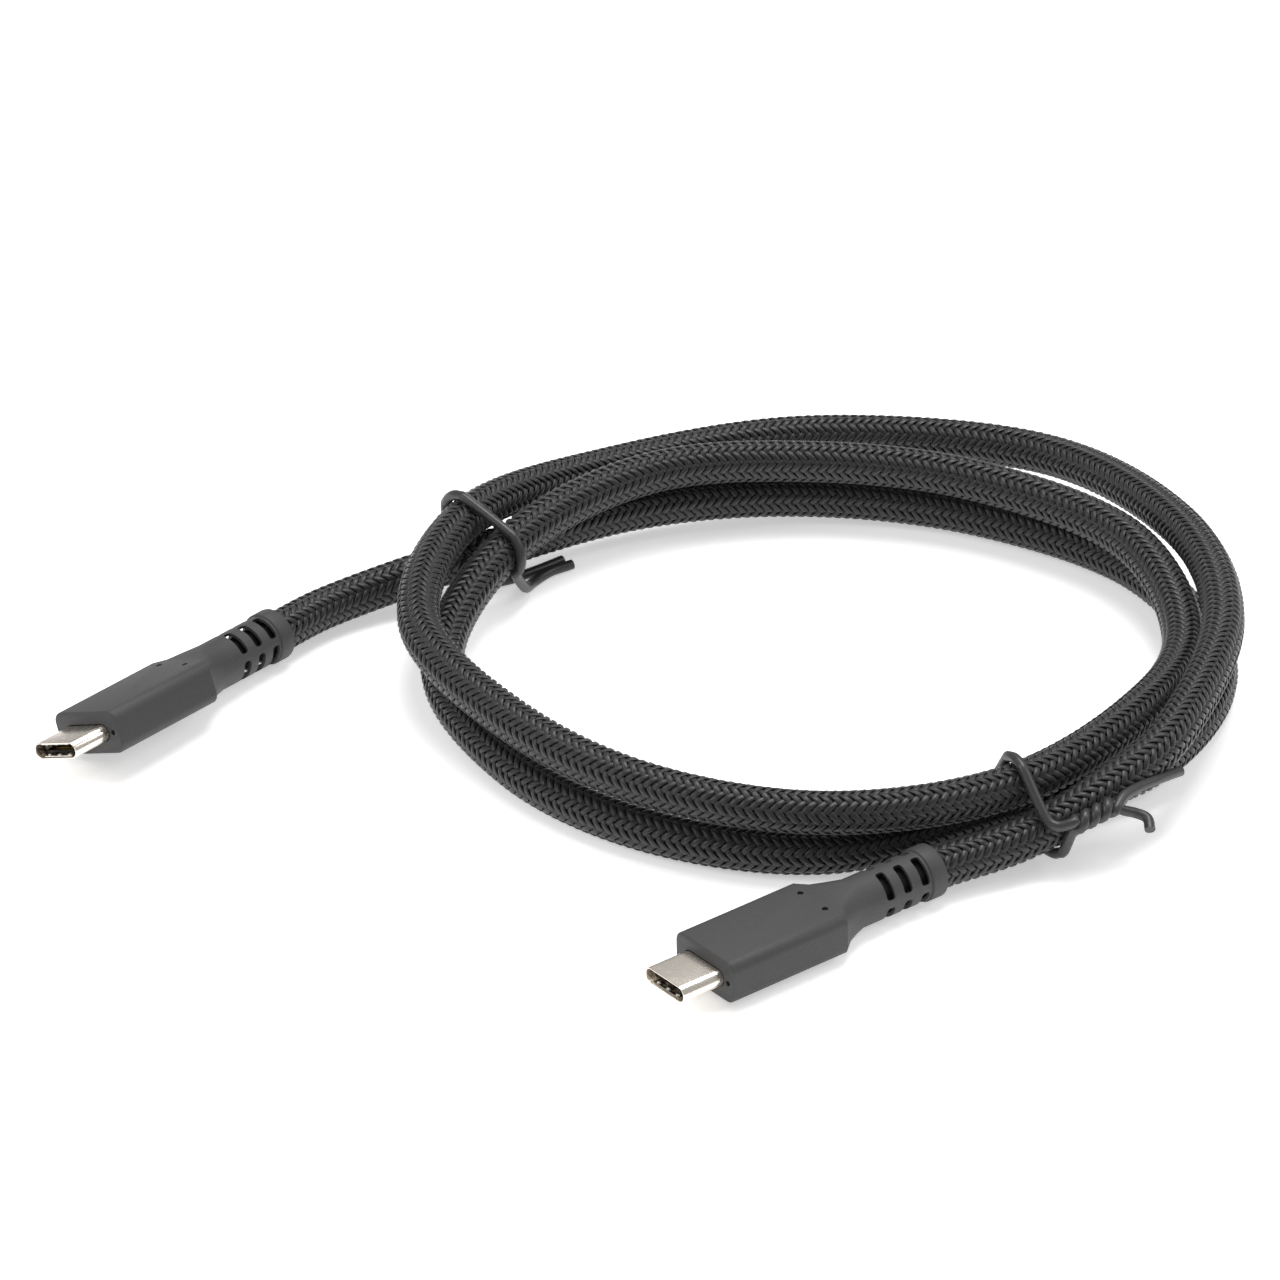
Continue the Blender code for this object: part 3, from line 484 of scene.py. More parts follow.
@dataclass
class BraidedCable:
    """The jacket and the braid of flat yarns over it."""

    route: CableRoute
    finishes: Finishes
    jacket_radius: float = 2.52
    braid_radius: float = 2.74
    wave: float = 0.2
    yarns_each_way: int = 12
    lay: float = 16.2
    yarn_width: float = 0.82
    yarn_thickness: float = 0.3
    yarn_step: float = 0.41
    yarn_sides: int = 8
    spans: int = 5
    # The braid stops this far inside each boot, past the ring and short of its windows.
    tucked: float = 2.4
    pieces: list[bpy.types.Object] = field(default_factory=list)

    def braid_tree(self) -> bpy.types.NodeTree:
        """Builds the tree that winds flat yarns over and under each other along a route.

        Returns:
            The tree, with named inputs for its sizes.
        """
        tree = bpy.data.node_groups.new("braid", "GeometryNodeTree")
        tree.interface.new_socket("Geometry", in_out="INPUT", socket_type="NodeSocketGeometry")
        tree.interface.new_socket("Geometry", in_out="OUTPUT", socket_type="NodeSocketGeometry")
        for name, kind in (("Route", "NodeSocketObject"), ("Material", "NodeSocketMaterial"),
                           ("From", "NodeSocketFloat"), ("Reach", "NodeSocketFloat"),
                           ("Steps", "NodeSocketInt"), ("Yarns each way", "NodeSocketInt"),
                           ("Lay", "NodeSocketFloat"), ("Braid radius", "NodeSocketFloat"),
                           ("Wave", "NodeSocketFloat"), ("Half width", "NodeSocketFloat"),
                           ("Half thickness", "NodeSocketFloat"), ("Sides", "NodeSocketInt")):
            tree.interface.new_socket(name, in_out="INPUT", socket_type=kind)
        given = add_node(tree, "NodeGroupInput").outputs
        route = add_node(tree, "GeometryNodeObjectInfo", {"Object": given["Route"]})
        line = add_node(tree, "GeometryNodeCurvePrimitiveLine", {"End": (1.0, 0.0, 0.0)})
        stepped = add_node(tree, "GeometryNodeResampleCurve",
                           {"Curve": line.outputs[0], "Count": given["Steps"]}, mode="COUNT")
        both = maths(tree, "MULTIPLY", given["Yarns each way"], 2.0)
        yarns = add_node(tree, "GeometryNodeDuplicateElements",
                         {"Geometry": stepped.outputs[0], "Amount": both}, domain="SPLINE")
        # Which way a yarn winds, +1 or -1, and its number among those that wind that way.
        number = yarns.outputs["Duplicate Index"]
        first_half = maths(tree, "LESS_THAN", number, given["Yarns each way"])
        hand = maths(tree, "MULTIPLY_ADD", first_half, 2.0, -1.0)
        place = maths(tree, "MODULO", number, given["Yarns each way"])
        # How far along the route a point is, in metres and in lays.
        share = add_node(tree, "GeometryNodeSplineParameter").outputs["Factor"]
        along = maths(tree, "MULTIPLY_ADD", share, given["Reach"], given["From"])
        lays = maths(tree, "DIVIDE", along, given["Lay"])
        start = maths(tree, "DIVIDE", place, given["Yarns each way"])
        turns = maths(tree, "MULTIPLY_ADD", lays, hand, start)
        angle = maths(tree, "MULTIPLY", turns, math.tau)
        # Over two yarns and under two: a quarter wave passes at each crossing.
        crossing = maths(tree, "MULTIPLY_ADD", lays, both, 1.0)
        handed = maths(tree, "MULTIPLY", crossing, hand)
        counted = maths(tree, "MULTIPLY_ADD", place, 2.0, handed)
        phase = maths(tree, "MULTIPLY_ADD", counted, math.pi / 2, -1.5 * math.pi / 2)
        wave = maths(tree, "COSINE", phase)
        radius = maths(tree, "MULTIPLY_ADD", wave, given["Wave"], given["Braid radius"])
        sampled = add_node(tree, "GeometryNodeSampleCurve",
                           {"Curves": route.outputs["Geometry"], "Length": along}, mode="LENGTH")
        side = add_node(tree, "ShaderNodeVectorMath",
                        {0: sampled.outputs["Tangent"], 1: sampled.outputs["Normal"]},
                        operation="CROSS_PRODUCT").outputs[0]
        cosine = maths(tree, "COSINE", angle)
        sine = maths(tree, "SINE", angle)
        level = add_node(tree, "ShaderNodeVectorMath",
                         {0: sampled.outputs["Normal"], "Scale": cosine}, operation="SCALE").outputs[0]
        upright = add_node(tree, "ShaderNodeVectorMath", {0: side, "Scale": sine},
                           operation="SCALE").outputs[0]
        outward = add_node(tree, "ShaderNodeVectorMath", {0: level, 1: upright}, operation="ADD").outputs[0]
        offset = add_node(tree, "ShaderNodeVectorMath", {0: outward, "Scale": radius},
                          operation="SCALE").outputs[0]
        spot = add_node(tree, "ShaderNodeVectorMath", {0: sampled.outputs["Position"], 1: offset},
                        operation="ADD").outputs[0]
        kept = add_node(tree, "GeometryNodeStoreNamedAttribute",
                        {"Geometry": yarns.outputs["Geometry"], "Name": "along", "Value": along},
                        data_type="FLOAT", domain="POINT")
        numbered = add_node(tree, "GeometryNodeStoreNamedAttribute",
                            {"Geometry": kept.outputs[0], "Name": "yarn", "Value": number},
                            data_type="FLOAT", domain="POINT")
        turned = add_node(tree, "GeometryNodeStoreNamedAttribute",
                          {"Geometry": numbered.outputs[0], "Name": "outward", "Value": outward},
                          data_type="FLOAT_VECTOR", domain="POINT")
        laid = add_node(tree, "GeometryNodeSetPosition", {"Geometry": turned.outputs[0], "Position": spot})
        facing = add_node(tree, "GeometryNodeInputNamedAttribute", {"Name": "outward"},
                          data_type="FLOAT_VECTOR").outputs[0]
        faced = add_node(tree, "GeometryNodeSetCurveNormal",
                         {"Curve": laid.outputs[0], "Normal": facing}, mode="FREE")
        # The yarn's section: a circle pressed flat.
        circle = add_node(tree, "GeometryNodeCurvePrimitiveCircle",
                          {"Resolution": given["Sides"], "Radius": 1.0}, mode="RADIUS")
        section_share = add_node(tree, "GeometryNodeSplineParameter").outputs["Factor"]
        section = add_node(tree, "GeometryNodeStoreNamedAttribute",
                           {"Geometry": circle.outputs[0], "Name": "across", "Value": section_share},
                           data_type="FLOAT", domain="POINT")
        flat = add_node(tree, "ShaderNodeCombineXYZ", {0: given["Half thickness"], 1: given["Half width"]})
        pressed = add_node(tree, "GeometryNodeTransform",
                           {"Geometry": section.outputs[0], "Scale": flat.outputs[0]})
        swept = add_node(tree, "GeometryNodeCurveToMesh",
                         {"Curve": faced.outputs[0], "Profile Curve": pressed.outputs[0],
                          "Fill Caps": True})
        real = add_node(tree, "GeometryNodeRealizeInstances", {"Geometry": swept.outputs[0]})
        smooth = add_node(tree, "GeometryNodeSetShadeSmooth", {"Geometry": real.outputs[0]})
        covered = add_node(tree, "GeometryNodeSetMaterial",
                           {"Geometry": smooth.outputs[0], "Material": given["Material"]})
        add_node(tree, "NodeGroupOutput", {"Geometry": covered.outputs[0]})
        return tree

    def build_braid(self, line: bpy.types.Object, length: float) -> None:
        """Winds the yarns along the whole cable, in spans that each stay light.

        Args:
            line: The bare route.
            length: The route's length, in millimetres.
        """
        tree = self.braid_tree()
        named = {item.name: item.identifier for item in tree.interface.items_tree
                 if item.in_out == "INPUT"}
        first = self.route.inset - self.tucked
        reach = (length - 2 * first) / self.spans
        for span in range(self.spans):
            item = link(f"braid_span_{span + 1}", bpy.data.meshes.new("span"))
            change = item.modifiers.new("braid", "NODES")
            change.node_group = tree
            values = {
                "Route": line, "Material": self.finishes.made[Finishes.YARN.slot],
                "From": (first + span * reach) * MM, "Reach": reach * MM,
                "Steps": round(reach / self.yarn_step) + 1, "Yarns each way": self.yarns_each_way,
                "Lay": self.lay * MM, "Braid radius": self.braid_radius * MM, "Wave": self.wave * MM,
                "Half width": self.yarn_width / 2 * MM, "Half thickness": self.yarn_thickness / 2 * MM,
                "Sides": self.yarn_sides,
            }
            for name, value in values.items():
                change[named[name]] = value
            mesh = baked_mesh(item)
            item.modifiers.clear()
            item.data = mesh
            mesh.name = item.name
            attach(item, CABLE_BODY)
            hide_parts("braided_sleeve")
            self.pieces.append(item)
            LOG.info("%s: %d faces", item.name, len(mesh.polygons))

    def build(self, plug_pieces: Sequence[bpy.types.Object]) -> None:
        """Args:
            plug_pieces: The pieces of the plug on the cable's far end. Not used.
        """
        points = self.route.whole()
        line = spline_object("braid_line", points)
        self.build_braid(line, path_length(points))
        bpy.data.objects.remove(line, do_unlink=True)
        jacket = spline_object("cable_jacket_tube", points, self.jacket_radius)
        self.finishes.dress(jacket, Finishes.JACKET)
        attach(jacket, CABLE_BODY)
        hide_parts("braided_sleeve", "cable_jacket", "cable_core")
        LOG.info("%s: %.1f mm long", jacket.name, path_length(points))


# The plugs


def rounded_outline(width: float, height: float, radius: float, steps: int) -> Outline:
    """Gives a rounded rectangle's points, counter-clockwise.

    Args:
        width: Its size across.
        height: Its size upwards.
        radius: The radius of its corners.
        steps: How many segments each corner has.

    Returns:
        The points as (across, up).
    """
    points = []
    for corner, (sx, sy) in enumerate(((1, 1), (-1, 1), (-1, -1), (1, -1))):
        for step in range(steps + 1):
            turn = math.radians(90 * (corner + step / steps))
            points.append((sx * (width / 2 - radius) + radius * math.cos(turn),
                           sy * (height / 2 - radius) + radius * math.sin(turn)))
    return points


def round_outline(diameter: float, steps: int) -> Outline:
    """Gives a circle with as many points as a rounded_outline has.

    Args:
        diameter: The circle's diameter.
        steps: How many segments a rounded outline's corner has.

    Returns:
        The points as (across, up).
    """
    points = []
    for quarter in range(4):
        for step in range(steps + 1):
            turn = 0.5 * math.pi * (quarter + (step + 0.5) / (steps + 1))
            points.append((0.5 * diameter * math.cos(turn), 0.5 * diameter * math.sin(turn)))
    return points


def loft(name: str, sections: Sequence[Section], closed: bool = False) -> bpy.types.Mesh:
    """Skins sections that stand across X.

    Args:
        name: The mesh's name.
        sections: Each section's place along X and its outline.
        closed: Whether the last section joins the first, as in a tube with a wall.

    Returns:
        A mesh in metres whose faces point outwards.
    """
    edit = bmesh.new()
    rings = [[edit.verts.new((x * MM, across * MM, up * MM)) for across, up in outline]
             for x, outline in sections]
    pairs = list(zip(rings, rings[1:]))
    if closed:
        pairs.append((rings[-1], rings[0]))
    for ring, following in pairs:
        for index, corner in enumerate(ring):
            after = (index + 1) % len(ring)
            edit.faces.new((corner, ring[after], following[after], following[index]))
    if not closed:
        edit.faces.new(rings[0])
        edit.faces.new(rings[-1])
    bmesh.ops.recalc_face_normals(edit, faces=edit.faces)
    mesh = bpy.data.meshes.new(name)
    edit.to_mesh(mesh)
    edit.free()
    return mesh


def block(low: Sequence[float], high: Sequence[float]) -> bpy.types.Mesh:
    """Makes a block between two corners.

    Args:
        low: The corner with the smallest values, in millimetres.
        high: The corner with the largest values, in millimetres.

    Returns:
        The block's mesh.
    """
    edit = bmesh.new()
    bmesh.ops.create_cube(edit, size=1.0)
    bmesh.ops.scale(edit, vec=[(b - a) * MM for a, b in zip(low, high)], verts=edit.verts)
    bmesh.ops.translate(edit, vec=[0.5 * (a + b) * MM for a, b in zip(low, high)], verts=edit.verts)
    mesh = bpy.data.meshes.new("block")
    edit.to_mesh(mesh)
    edit.free()
    return mesh


def rod(radius: float, start: float, end: float, sides: int = 40) -> bpy.types.Mesh:
    """Makes a round rod along X.

    Args:
        radius: Its radius, in millimetres.
        start: Where it starts along X, in millimetres.
        end: Where it ends.
        sides: How many sides its section has.

    Returns:
        The rod's mesh.
    """
    turns = [math.tau * index / sides for index in range(sides)]
    circle = [(radius * math.cos(turn), radius * math.sin(turn)) for turn in turns]
    return loft("rod", [(start, circle), (end, circle)])


@dataclass
class Plug:
    """One reversible plug: moulding, shell and the parts inside them."""

    name: str
    pose: PlugPose
    finishes: Finishes
    cable_diameter: float = 6.0
    shell_width: float = 8.25
    shell_height: float = 2.4
    shell_wall: float = 0.2
    shell_reach: float = 6.65
    shell_tail: float = 3.4
    grip_length: float = 19.8
    grip_width: float = 12.2
    grip_height: float = 6.2
    grip_corner: float = 1.5
    grip_edge: float = 0.35
    grip_side_wall: float = 1.4
    grip_top_wall: float = 1.0
    neck_length: float = 5.2
    boot_length: float = 13.8
    boot_wall: float = 0.45
    ring_length: float = 2.6
    ring_rim: float = 0.25
    window_length: float = 1.4
    window_pitch: float = 3.0
    window_depth: float = 2.2
    window_span: float = 70.0
    window_corner: float = 0.45
    windows_per_row: int = 3
    window_rows: int = 4
    pin_diameter: float = 0.9
    pin_depth: float = 0.4
    pin_spacing: float = 5.2
    pin_setback: float = 1.4
    dome_setback: float = 0.75
    dome_pitch: float = 2.0
    dome_width: float = 0.75
    dome_height: float = 0.26
    dome_seat: float = 0.17
    gate_diameter: float = 0.8
    gate_depth: float = 0.5
    gate_across: float = 5.0
    shield_length: float = 10.2
    ferrule_reach: float = 2.7
    sleeve_inset: float = 16.5
    fit: float = 0.1
    past: float = 1.0
    trim: float = 0.01
    corner_steps: int = 8
    slot_steps: int = 10
    shell_steps: int = 12
    edge_steps: int = 3
    rim_steps: int = 4
    small_rod_sides: int = 24
    # The neck, as shares of its length, of the boot's diameter and of the grip.
    neck_swell_at: float = 0.45
    neck_swell_width: float = 1.2
    neck_swell_height: float = 0.95
    neck_swell_corner: float = 0.4
    neck_wide_at: float = 0.8
    neck_wide_width: float = 0.84
    neck_wide_corner: float = 1.5
    # How far past the neck the grip reaches its full section.
    grip_full_at: float = 0.4

    @property
    def back(self) -> float:
        """Where the grip starts along the plug."""
        return self.boot_length + self.neck_length

    @property
    def face(self) -> float:
        """Where the grip's front face stands along the plug."""
        return self.back + self.grip_length

    @property
    def boot_diameter(self) -> float:
        """The boot's diameter between its end ring and the neck."""
        return self.cable_diameter + 2 * self.fit + 2 * self.boot_wall

    def place(self, mesh: bpy.types.Mesh) -> None:
        """Turns a mesh from the plug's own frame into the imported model's frame.

        Args:
            mesh: The mesh, which is changed in place.
        """
        matrix = self.pose.matrix()
        matrix.translation = matrix.translation * MM
        mesh.transform(matrix)

    def moulding_sections(self) -> list[Section]:
        """Works out the moulding's outlines.

        Returns:
            The sections, from the boot's end to the grip's front.
        """
        boot = self.boot_diameter
        ring = boot + 2 * self.ring_rim
        steps = self.corner_steps
        rounding = self.edge_steps
        sections: list[Section] = []
        for step in range(rounding + 1):
            turn = 0.5 * math.pi * step / rounding
            inset = self.ring_rim * (1 - math.sin(turn))
            sections.append((self.ring_rim * (1 - math.cos(turn)), round_outline(ring - 2 * inset, steps)))
        for step in range(rounding + 1):
            turn = 0.5 * math.pi * step / rounding
            inset = self.ring_rim * (1 - math.cos(turn))
            sections.append((self.ring_length - self.ring_rim * (1 - math.sin(turn)),
                             round_outline(ring - 2 * inset, steps)))
        sections.append((self.boot_length, round_outline(boot, steps)))
        sections.append((self.boot_length + self.neck_swell_at * self.neck_length,
                         rounded_outline(self.neck_swell_width * boot, self.neck_swell_height * boot,
                                         self.neck_swell_corner * boot, steps)))
        sections.append((self.boot_length + self.neck_wide_at * self.neck_length,
                         rounded_outline(self.neck_wide_width * self.grip_width, self.grip_height,
                                         self.neck_wide_corner * self.grip_corner, steps)))
        sections.append((self.back + self.grip_full_at,
                         rounded_outline(self.grip_width, self.grip_height, self.grip_corner, steps)))
        for step in range(rounding + 1):
            turn = 0.5 * math.pi * step / rounding
            inset = self.grip_edge * (1 - math.cos(turn))
            sections.append((self.face - self.grip_edge * (1 - math.sin(turn)),
                             rounded_outline(self.grip_width - 2 * inset, self.grip_height - 2 * inset,
                                             self.grip_corner - inset, steps)))
        return sections

    def windows(self) -> bpy.types.Mesh:
        """Makes the blocks that open the boot's windows.

        Returns:
            One mesh that holds every block.
        """
        radius = self.boot_diameter / 2
        chord = 2 * radius * math.sin(math.radians(self.window_span / 2))
        first = self.ring_length + self.window_length / 2 + 4 * self.fit
        edit = bmesh.new()
        for row in range(self.window_rows):
            spin = Matrix.Rotation(math.tau * (row + 0.5) / self.window_rows, 4, "X")
            for index in range(self.windows_per_row):
                shift = Matrix.Translation(((first + index * self.window_pitch) * MM, 0, radius * MM))
                size = Matrix.Diagonal((self.window_length * MM, chord * MM, self.window_depth * MM, 1.0))
                bmesh.ops.create_cube(edit, size=1.0, matrix=spin @ shift @ size)
        depth = self.window_depth * MM
        upright = [edge for edge in edit.edges
                   if abs((edge.verts[1].co - edge.verts[0].co).length - depth) < LENGTH_TOLERANCE]
        bmesh.ops.bevel(edit, geom=upright, offset=self.window_corner * MM, segments=3, affect="EDGES",
                        profile=0.5)
        mesh = bpy.data.meshes.new("windows")
        edit.to_mesh(mesh)
        edit.free()
        return mesh

    def moulding_cuts(self) -> list[bpy.types.Mesh]:
        """Makes everything that is hollow in the moulding.

        Returns:
            The shapes to cut away.
        """
        shield_front = self.face - self.shell_tail - 2 * self.fit
        shield_back = shield_front - self.shield_length
        half = self.grip_width / 2 - self.grip_side_wall + self.fit
        room = self.grip_height / 2 - self.grip_top_wall + self.fit
        tall = self.shell_height + 2 * self.fit
        slot = rounded_outline(self.shell_width + 2 * self.fit, tall, tall / 2 - self.trim, self.slot_steps)
        cuts = [
            block((shield_back - 2 * self.fit, -half, -room), (shield_front + self.fit, half, room)),
            loft("slot", [(shield_front - self.past, slot), (self.face + self.past, slot)]),
            rod(self.ferrule_reach, self.sleeve_inset - self.past, shield_back + self.past),
            rod(self.cable_diameter / 2 + self.fit, -self.past, self.sleeve_inset + self.fit),
            self.windows(),
        ]
        gate = rod(self.gate_diameter / 2, self.face - self.gate_depth, self.face + self.past,
                   self.small_rod_sides)
        gate.transform(Matrix.Translation((0, self.gate_across * MM, 0)))
        cuts.append(gate)
        for side in (-1, 1):
            pin = rod(self.pin_diameter / 2, -self.pin_depth, self.past, self.small_rod_sides)
            pin.transform(Matrix.Rotation(math.radians(-90), 4, "Y"))
            spot = Vector((self.back + self.pin_setback, side * self.pin_spacing / 2, self.grip_height / 2))
            pin.transform(Matrix.Translation(spot * MM))
            cuts.append(pin)
        return cuts

    def build_moulding(self) -> bpy.types.Object:
        """Makes the grip, neck and windowed boot as one moulding.

        Returns:
            The moulding.
        """
        item = link(self.name + "_moulding", loft("moulding", self.moulding_sections()))
        cutters = []
        for index, mesh in enumerate(self.moulding_cuts()):
            cutter = link(f"{self.name}_cutter_{index}", mesh)
            change = item.modifiers.new(f"cut_{index}", "BOOLEAN")
            change.operation = "DIFFERENCE"
            change.solver = "EXACT"
            change.object = cutter
            cutters.append(cutter)
        mesh = baked_mesh(item)
        item.modifiers.clear()
        item.data = mesh
        for cutter in cutters:
            bpy.data.objects.remove(cutter, do_unlink=True)
        self.place(mesh)
        smooth_faces(mesh)
        self.finishes.dress(item, Finishes.MOULDING)
        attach(item, CABLE_BODY)
        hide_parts(self.name + "_overmould")
        return item

    def build_shell(self) -> bpy.types.Object:
        """Makes the drawn shell, a wall with a rounded front rim.

        Returns:
            The shell.
        """
        start = self.face - self.shell_tail
        end = self.face + self.shell_reach
        sections: list[Section] = []
        rim = self.shell_wall / 2
        turns = [math.pi * step / self.rim_steps for step in range(self.rim_steps + 1)]
        rounded = [(end - rim + rim * math.sin(turn), rim - rim * math.cos(turn)) for turn in turns]
        for x, inset in ((start, 0.0), *rounded, (start, self.shell_wall)):
            width = self.shell_width - 2 * inset
            height = self.shell_height - 2 * inset
            sections.append((x, rounded_outline(width, height, height / 2 - self.trim, self.shell_steps)))
        mesh = loft("shell", sections, closed=True)
        self.place(mesh)
        smooth_faces(mesh, TUBE_SMOOTH_ANGLE_DEG)
        item = link(self.name + "_drawn_shell", mesh)
        self.finishes.dress(item, Finishes.NICKEL)
        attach(item, CABLE_BODY)
        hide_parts(self.name + "_shell")
        return item

    def build_domes(self) -> bpy.types.Object:
        """Makes the pressed domes on the ground springs, which shine just inside the mouth.

        Returns:
            The domes, joined as one piece.
        """
        edit = bmesh.new()
        inner = self.shell_height / 2 - self.shell_wall
        for side in (-1, 1):
            for index in (-1, 0, 1):
                spot = Vector((self.face + self.shell_reach - self.dome_setback,
                               index * self.dome_pitch, side * (inner - self.dome_seat)))
                size = Matrix.Diagonal((self.dome_width / 2, self.dome_width / 2, self.dome_height, 1.0))
                bmesh.ops.create_uvsphere(edit, u_segments=24, v_segments=12, radius=MM,
                                          matrix=Matrix.Translation(spot * MM) @ size)
        mesh = bpy.data.meshes.new("domes")
        edit.to_mesh(mesh)
        edit.free()
        self.place(mesh)
        smooth_faces(mesh)
        item = link(self.name + "_spring_domes", mesh)
        self.finishes.dress(item, Finishes.SPRING)
        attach(item, CABLE_BODY)
        return item

    def dress_inside(self) -> None:
        """Gives the carried-over parts inside the plug their finishes."""
        worn = {
            "insulator": Finishes.INSULATOR, "upper_contacts": Finishes.GOLD,
            "lower_contacts": Finishes.GOLD, "upper_ground_spring": Finishes.SPRING,
            "lower_ground_spring": Finishes.SPRING, "latch_plate": Finishes.SPRING,
            "left_latch_arm": Finishes.SPRING, "right_latch_arm": Finishes.SPRING,
            "circuit_card": Finishes.CARD, "marker_chip": Finishes.CHIP, "upper_shield": Finishes.TIN,
            "lower_shield": Finishes.TIN, "crimp_ferrule": Finishes.TIN, "power_wire": Finishes.RED,
            "ground_wire": Finishes.BLACK, "data_wire": Finishes.WHITE, "signal_wire": Finishes.BLUE,
        }
        for part, finish in worn.items():
            self.finishes.dress_node(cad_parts[f"{self.name}_{part}"], finish)

    def build(self) -> list[bpy.types.Object]:
        """Makes the plug's own pieces.

        Returns:
            The pieces that show.
        """
        made = [self.build_moulding(), self.build_shell(), self.build_domes()]
        self.dress_inside()
        for item in made:
            LOG.info("%s: %d faces", item.name, len(item.data.polygons))
        return made


# The ties


@dataclass
class TwistTie:
    """A plastic-coated wire that is bent round the bundle."""

    name: str
    route: CableRoute
    finishes: Finishes
    middle: tuple[float, float]
    across: tuple[float, float]
    loop: tuple[float, float]
    tail_start: tuple[tuple[float, float, float], ...]
    tail_end: tuple[tuple[float, float, float], ...]
    twist: Optional[tuple[tuple[float, float, float], tuple[float, float, float]]] = None
    twist_turns: float = 1.75
    twist_steps: int = 18
    twist_radius: float = 0.72
    first_phase: float = 0.2
    last_phase: float = 0.7
    diameter: float = 1.5
    reach: float = 14.0
    loop_steps: int = 20
    loop_offset: float = 2.4
    gap: float = 0.1
    seat: float = 0.05
    spacing: float = 0.5

    def strands(self) -> list[Vector]:
        """Finds where the cable crosses the tie's plane.

        Returns:
            Each crossing as (across, height) from the plane's middle.
        """
        across = Vector((*self.across, 0)).normalized()
        normal = Vector((-across.y, across.x, 0))
        middle = Vector((*self.middle, 0))
        path = self.route.shown()
        found = []
        for a, b in zip(path, path[1:]):
            start = (a - middle).dot(normal)
            end = (b - middle).dot(normal)
            if start * end < 0:
                point = a.lerp(b, start / (start - end))
                offset = (point - middle).dot(across)
                if abs(offset) < self.reach:
                    found.append(Vector((offset, point.z)))
        return found

    def helix(self, phase: float) -> list[Vector]:
        """Winds one strand of the twist, from the loop's side to the tails' side.

        Args:
            phase: Where the strand starts round the twist, in turns.

        Returns:
            The strand's points, or none if the tie isn't twisted.
        """
        if self.twist is None:
            return []
        start, end = (Vector(point) for point in self.twist)
        along = (end - start).normalized()
        side = along.cross(Vector((0, 0, 1))).normalized()
        up = side.cross(along)
        found = []
        for step in range(self.twist_steps + 1):
            share = step / self.twist_steps
            turn = math.tau * (phase + self.twist_turns * share)
            reach = self.twist_radius * (side * math.cos(turn) + up * math.sin(turn))
            found.append(start.lerp(end, share) + reach)
        return found

    def points(self) -> list[Vector]:
        """Works out the tie's whole line: first tail, snug loop, second tail.

        Returns:
            The points, in millimetres.
        """
        across = Vector((*self.across, 0)).normalized()
        normal = Vector((-across.y, across.x, 0))
        middle = Vector((*self.middle, 0))
        strands = self.strands()
        reach = (self.route.diameter + self.diameter) / 2 + self.gap
        floor = self.diameter / 2 + self.seat
        loop = []
        for step in range(self.loop_steps + 1):
            share = step / self.loop_steps
            angle = math.radians(self.loop[0] + (self.loop[1] - self.loop[0]) * share)
            outward = Vector((math.cos(angle), math.sin(angle)))
            edge = max(strands, key=outward.dot) + reach * outward
            along = (share - 0.5) * self.loop_offset
            loop.append(middle + edge.x * across + along * normal + Vector((0, 0, max(edge.y, floor))))
        first = [*[Vector(point) for point in self.tail_start], *reversed(self.helix(self.first_phase))]
        last = [*self.helix(self.last_phase), *[Vector(point) for point in self.tail_end]]
        return even_points([*first, *loop, *last], self.spacing)

    def build(self) -> bpy.types.Object:
        """Makes the coating as a closed tube along the tie's line.

        Returns:
            The tie.
        """
        holder = spline_object(self.name + "_line", self.points(), self.diameter / 2)
        mesh = baked_mesh(holder)
        bpy.data.objects.remove(holder, do_unlink=True)
        smooth_faces(mesh, TUBE_SMOOTH_ANGLE_DEG)
        item = link(self.name + "_coated_tie", mesh)
        self.finishes.dress(item, Finishes.TIE)
        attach(item, CABLE_BODY)
        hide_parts(self.name + "_coating", self.name + "_wire")
        LOG.info("%s: %d faces", item.name, len(mesh.polygons))
        return item


# The studio


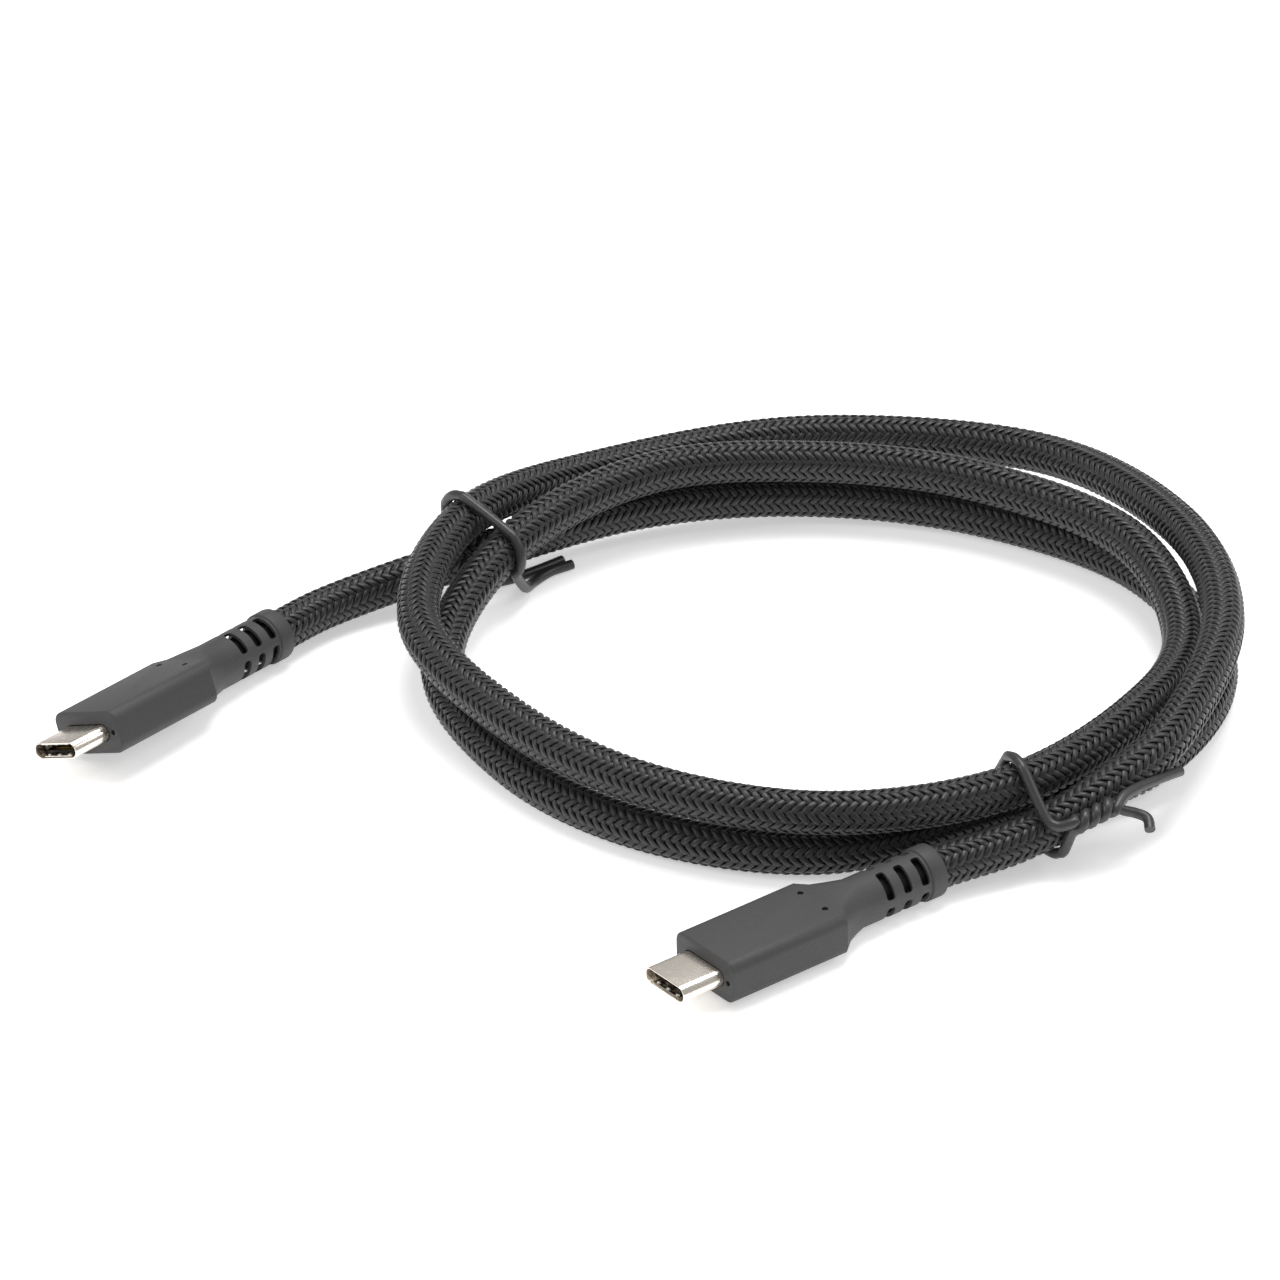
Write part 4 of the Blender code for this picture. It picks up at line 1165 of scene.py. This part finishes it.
@dataclass
class Studio:
    """The floor, soft lights and camera."""

    target: tuple[float, float, float] = (-0.001, 0.0207, 0.0)
    distance: float = 1.05
    elevation: float = 31.0
    lens: float = 208.0
    sensor: float = 36.0
    floor_size: float = 12.0
    floor_glow: float = 0.45
    room_light: float = 0.4

    def build_camera(self) -> None:
        """Stands the camera at its distance and elevation, looking at the target."""
        data = bpy.data.cameras.new("camera")
        data.lens = self.lens
        data.sensor_width = self.sensor
        camera = link("camera", data)
        rise = math.radians(self.elevation)
        back = Vector((0, -math.cos(rise), math.sin(rise))) * self.distance
        camera.location = Vector(self.target) + back
        camera.rotation_euler = (math.radians(90 - self.elevation), 0, 0)
        bpy.context.scene.camera = camera

    def build_floor(self) -> None:
        """Lays a plain white floor."""
        edit = bmesh.new()
        bmesh.ops.create_grid(edit, x_segments=1, y_segments=1, size=self.floor_size)
        mesh = bpy.data.meshes.new("floor")
        edit.to_mesh(mesh)
        edit.free()
        # Matt white paper: bright enough to lose its edge against the white room.
        paper = Finish("white_paper", "", "#ffffff", "#fafafa", 0.9, 2.0, 0.0,
                       glow=self.floor_glow).make()
        mesh.materials.append(paper)
        link("floor", mesh)

    def build_light(self, name: str, place: Sequence[float], size: float, power: float) -> None:
        """Hangs one square soft light that faces the target.

        Args:
            name: The light's name.
            place: Where it hangs.
            size: The length of its sides.
            power: Its power in watts.
        """
        data = bpy.data.lights.new(name, "AREA")
        data.shape = "SQUARE"
        data.size = size
        data.energy = power
        lamp = link(name, data)
        lamp.location = place
        lamp.rotation_euler = (Vector(self.target) - Vector(place)).to_track_quat("-Z", "Y").to_euler()

    def build(self) -> None:
        """Sets up the whole studio."""
        self.build_camera()
        self.build_floor()
        self.build_light("softbox_top", place=(0.1, 0.35, 1.3), size=0.8, power=14.0)
        self.build_light("softbox_left", place=(-1.1, -0.3, 0.8), size=0.5, power=4.0)
        self.build_light("softbox_right", place=(1.1, 0.1, 0.9), size=0.5, power=3.0)
        world = bpy.data.worlds.new("white_room")
        world.use_nodes = True
        world.node_tree.nodes["Background"].inputs["Color"].default_value = (1.0, 1.0, 1.0, 1.0)
        world.node_tree.nodes["Background"].inputs["Strength"].default_value = self.room_light
        bpy.context.scene.world = world
        bpy.context.scene.view_settings.view_transform = "Standard"


def main() -> None:
    """Builds the studio and every piece in order."""
    logging.basicConfig(level=logging.INFO, format="%(message)s")
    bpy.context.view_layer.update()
    Studio().build()
    finishes = Finishes()
    route = CableRoute()
    Plug("plug_a", route.pose_a, finishes).build()
    far_pieces = Plug("plug_b", route.pose_b, finishes).build()
    BraidedCable(route, finishes).build(far_pieces)
    TwistTie(
        "upper_tie", route, finishes, middle=(-24.0, 33.5), across=(0.78, -0.62), loop=(-35.0, 255.0),
        tail_start=((-10.8, 40.4, 0.9), (-14.0, 38.2, 0.9), (-16.4, 35.0, 1.0), (-17.4, 31.6, 2.2)),
        tail_end=((-23.6, 35.2, 0.9), (-20.0, 36.0, 0.9), (-16.0, 38.6, 0.9), (-12.2, 41.6, 0.9)),
    ).build()
    TwistTie(
        "lower_tie", route, finishes, middle=(51.5, -35.0), across=(0.55, -0.83), loop=(45.0, 320.0),
        tail_start=((72.4, -27.2, 8.0), (69.5, -30.6, 9.0), (66.6, -33.6, 9.6), (64.2, -36.4, 9.8)),
        tail_end=((63.9, -38.0, 8.6), (65.6, -37.6, 7.9), (67.3, -38.2, 7.4), (67.6, -40.0, 6.7)),
        twist=((57.2, -41.4, 8.2), (62.6, -38.2, 9.3)),
    ).build()


if __name__ == "__main__":
    main()
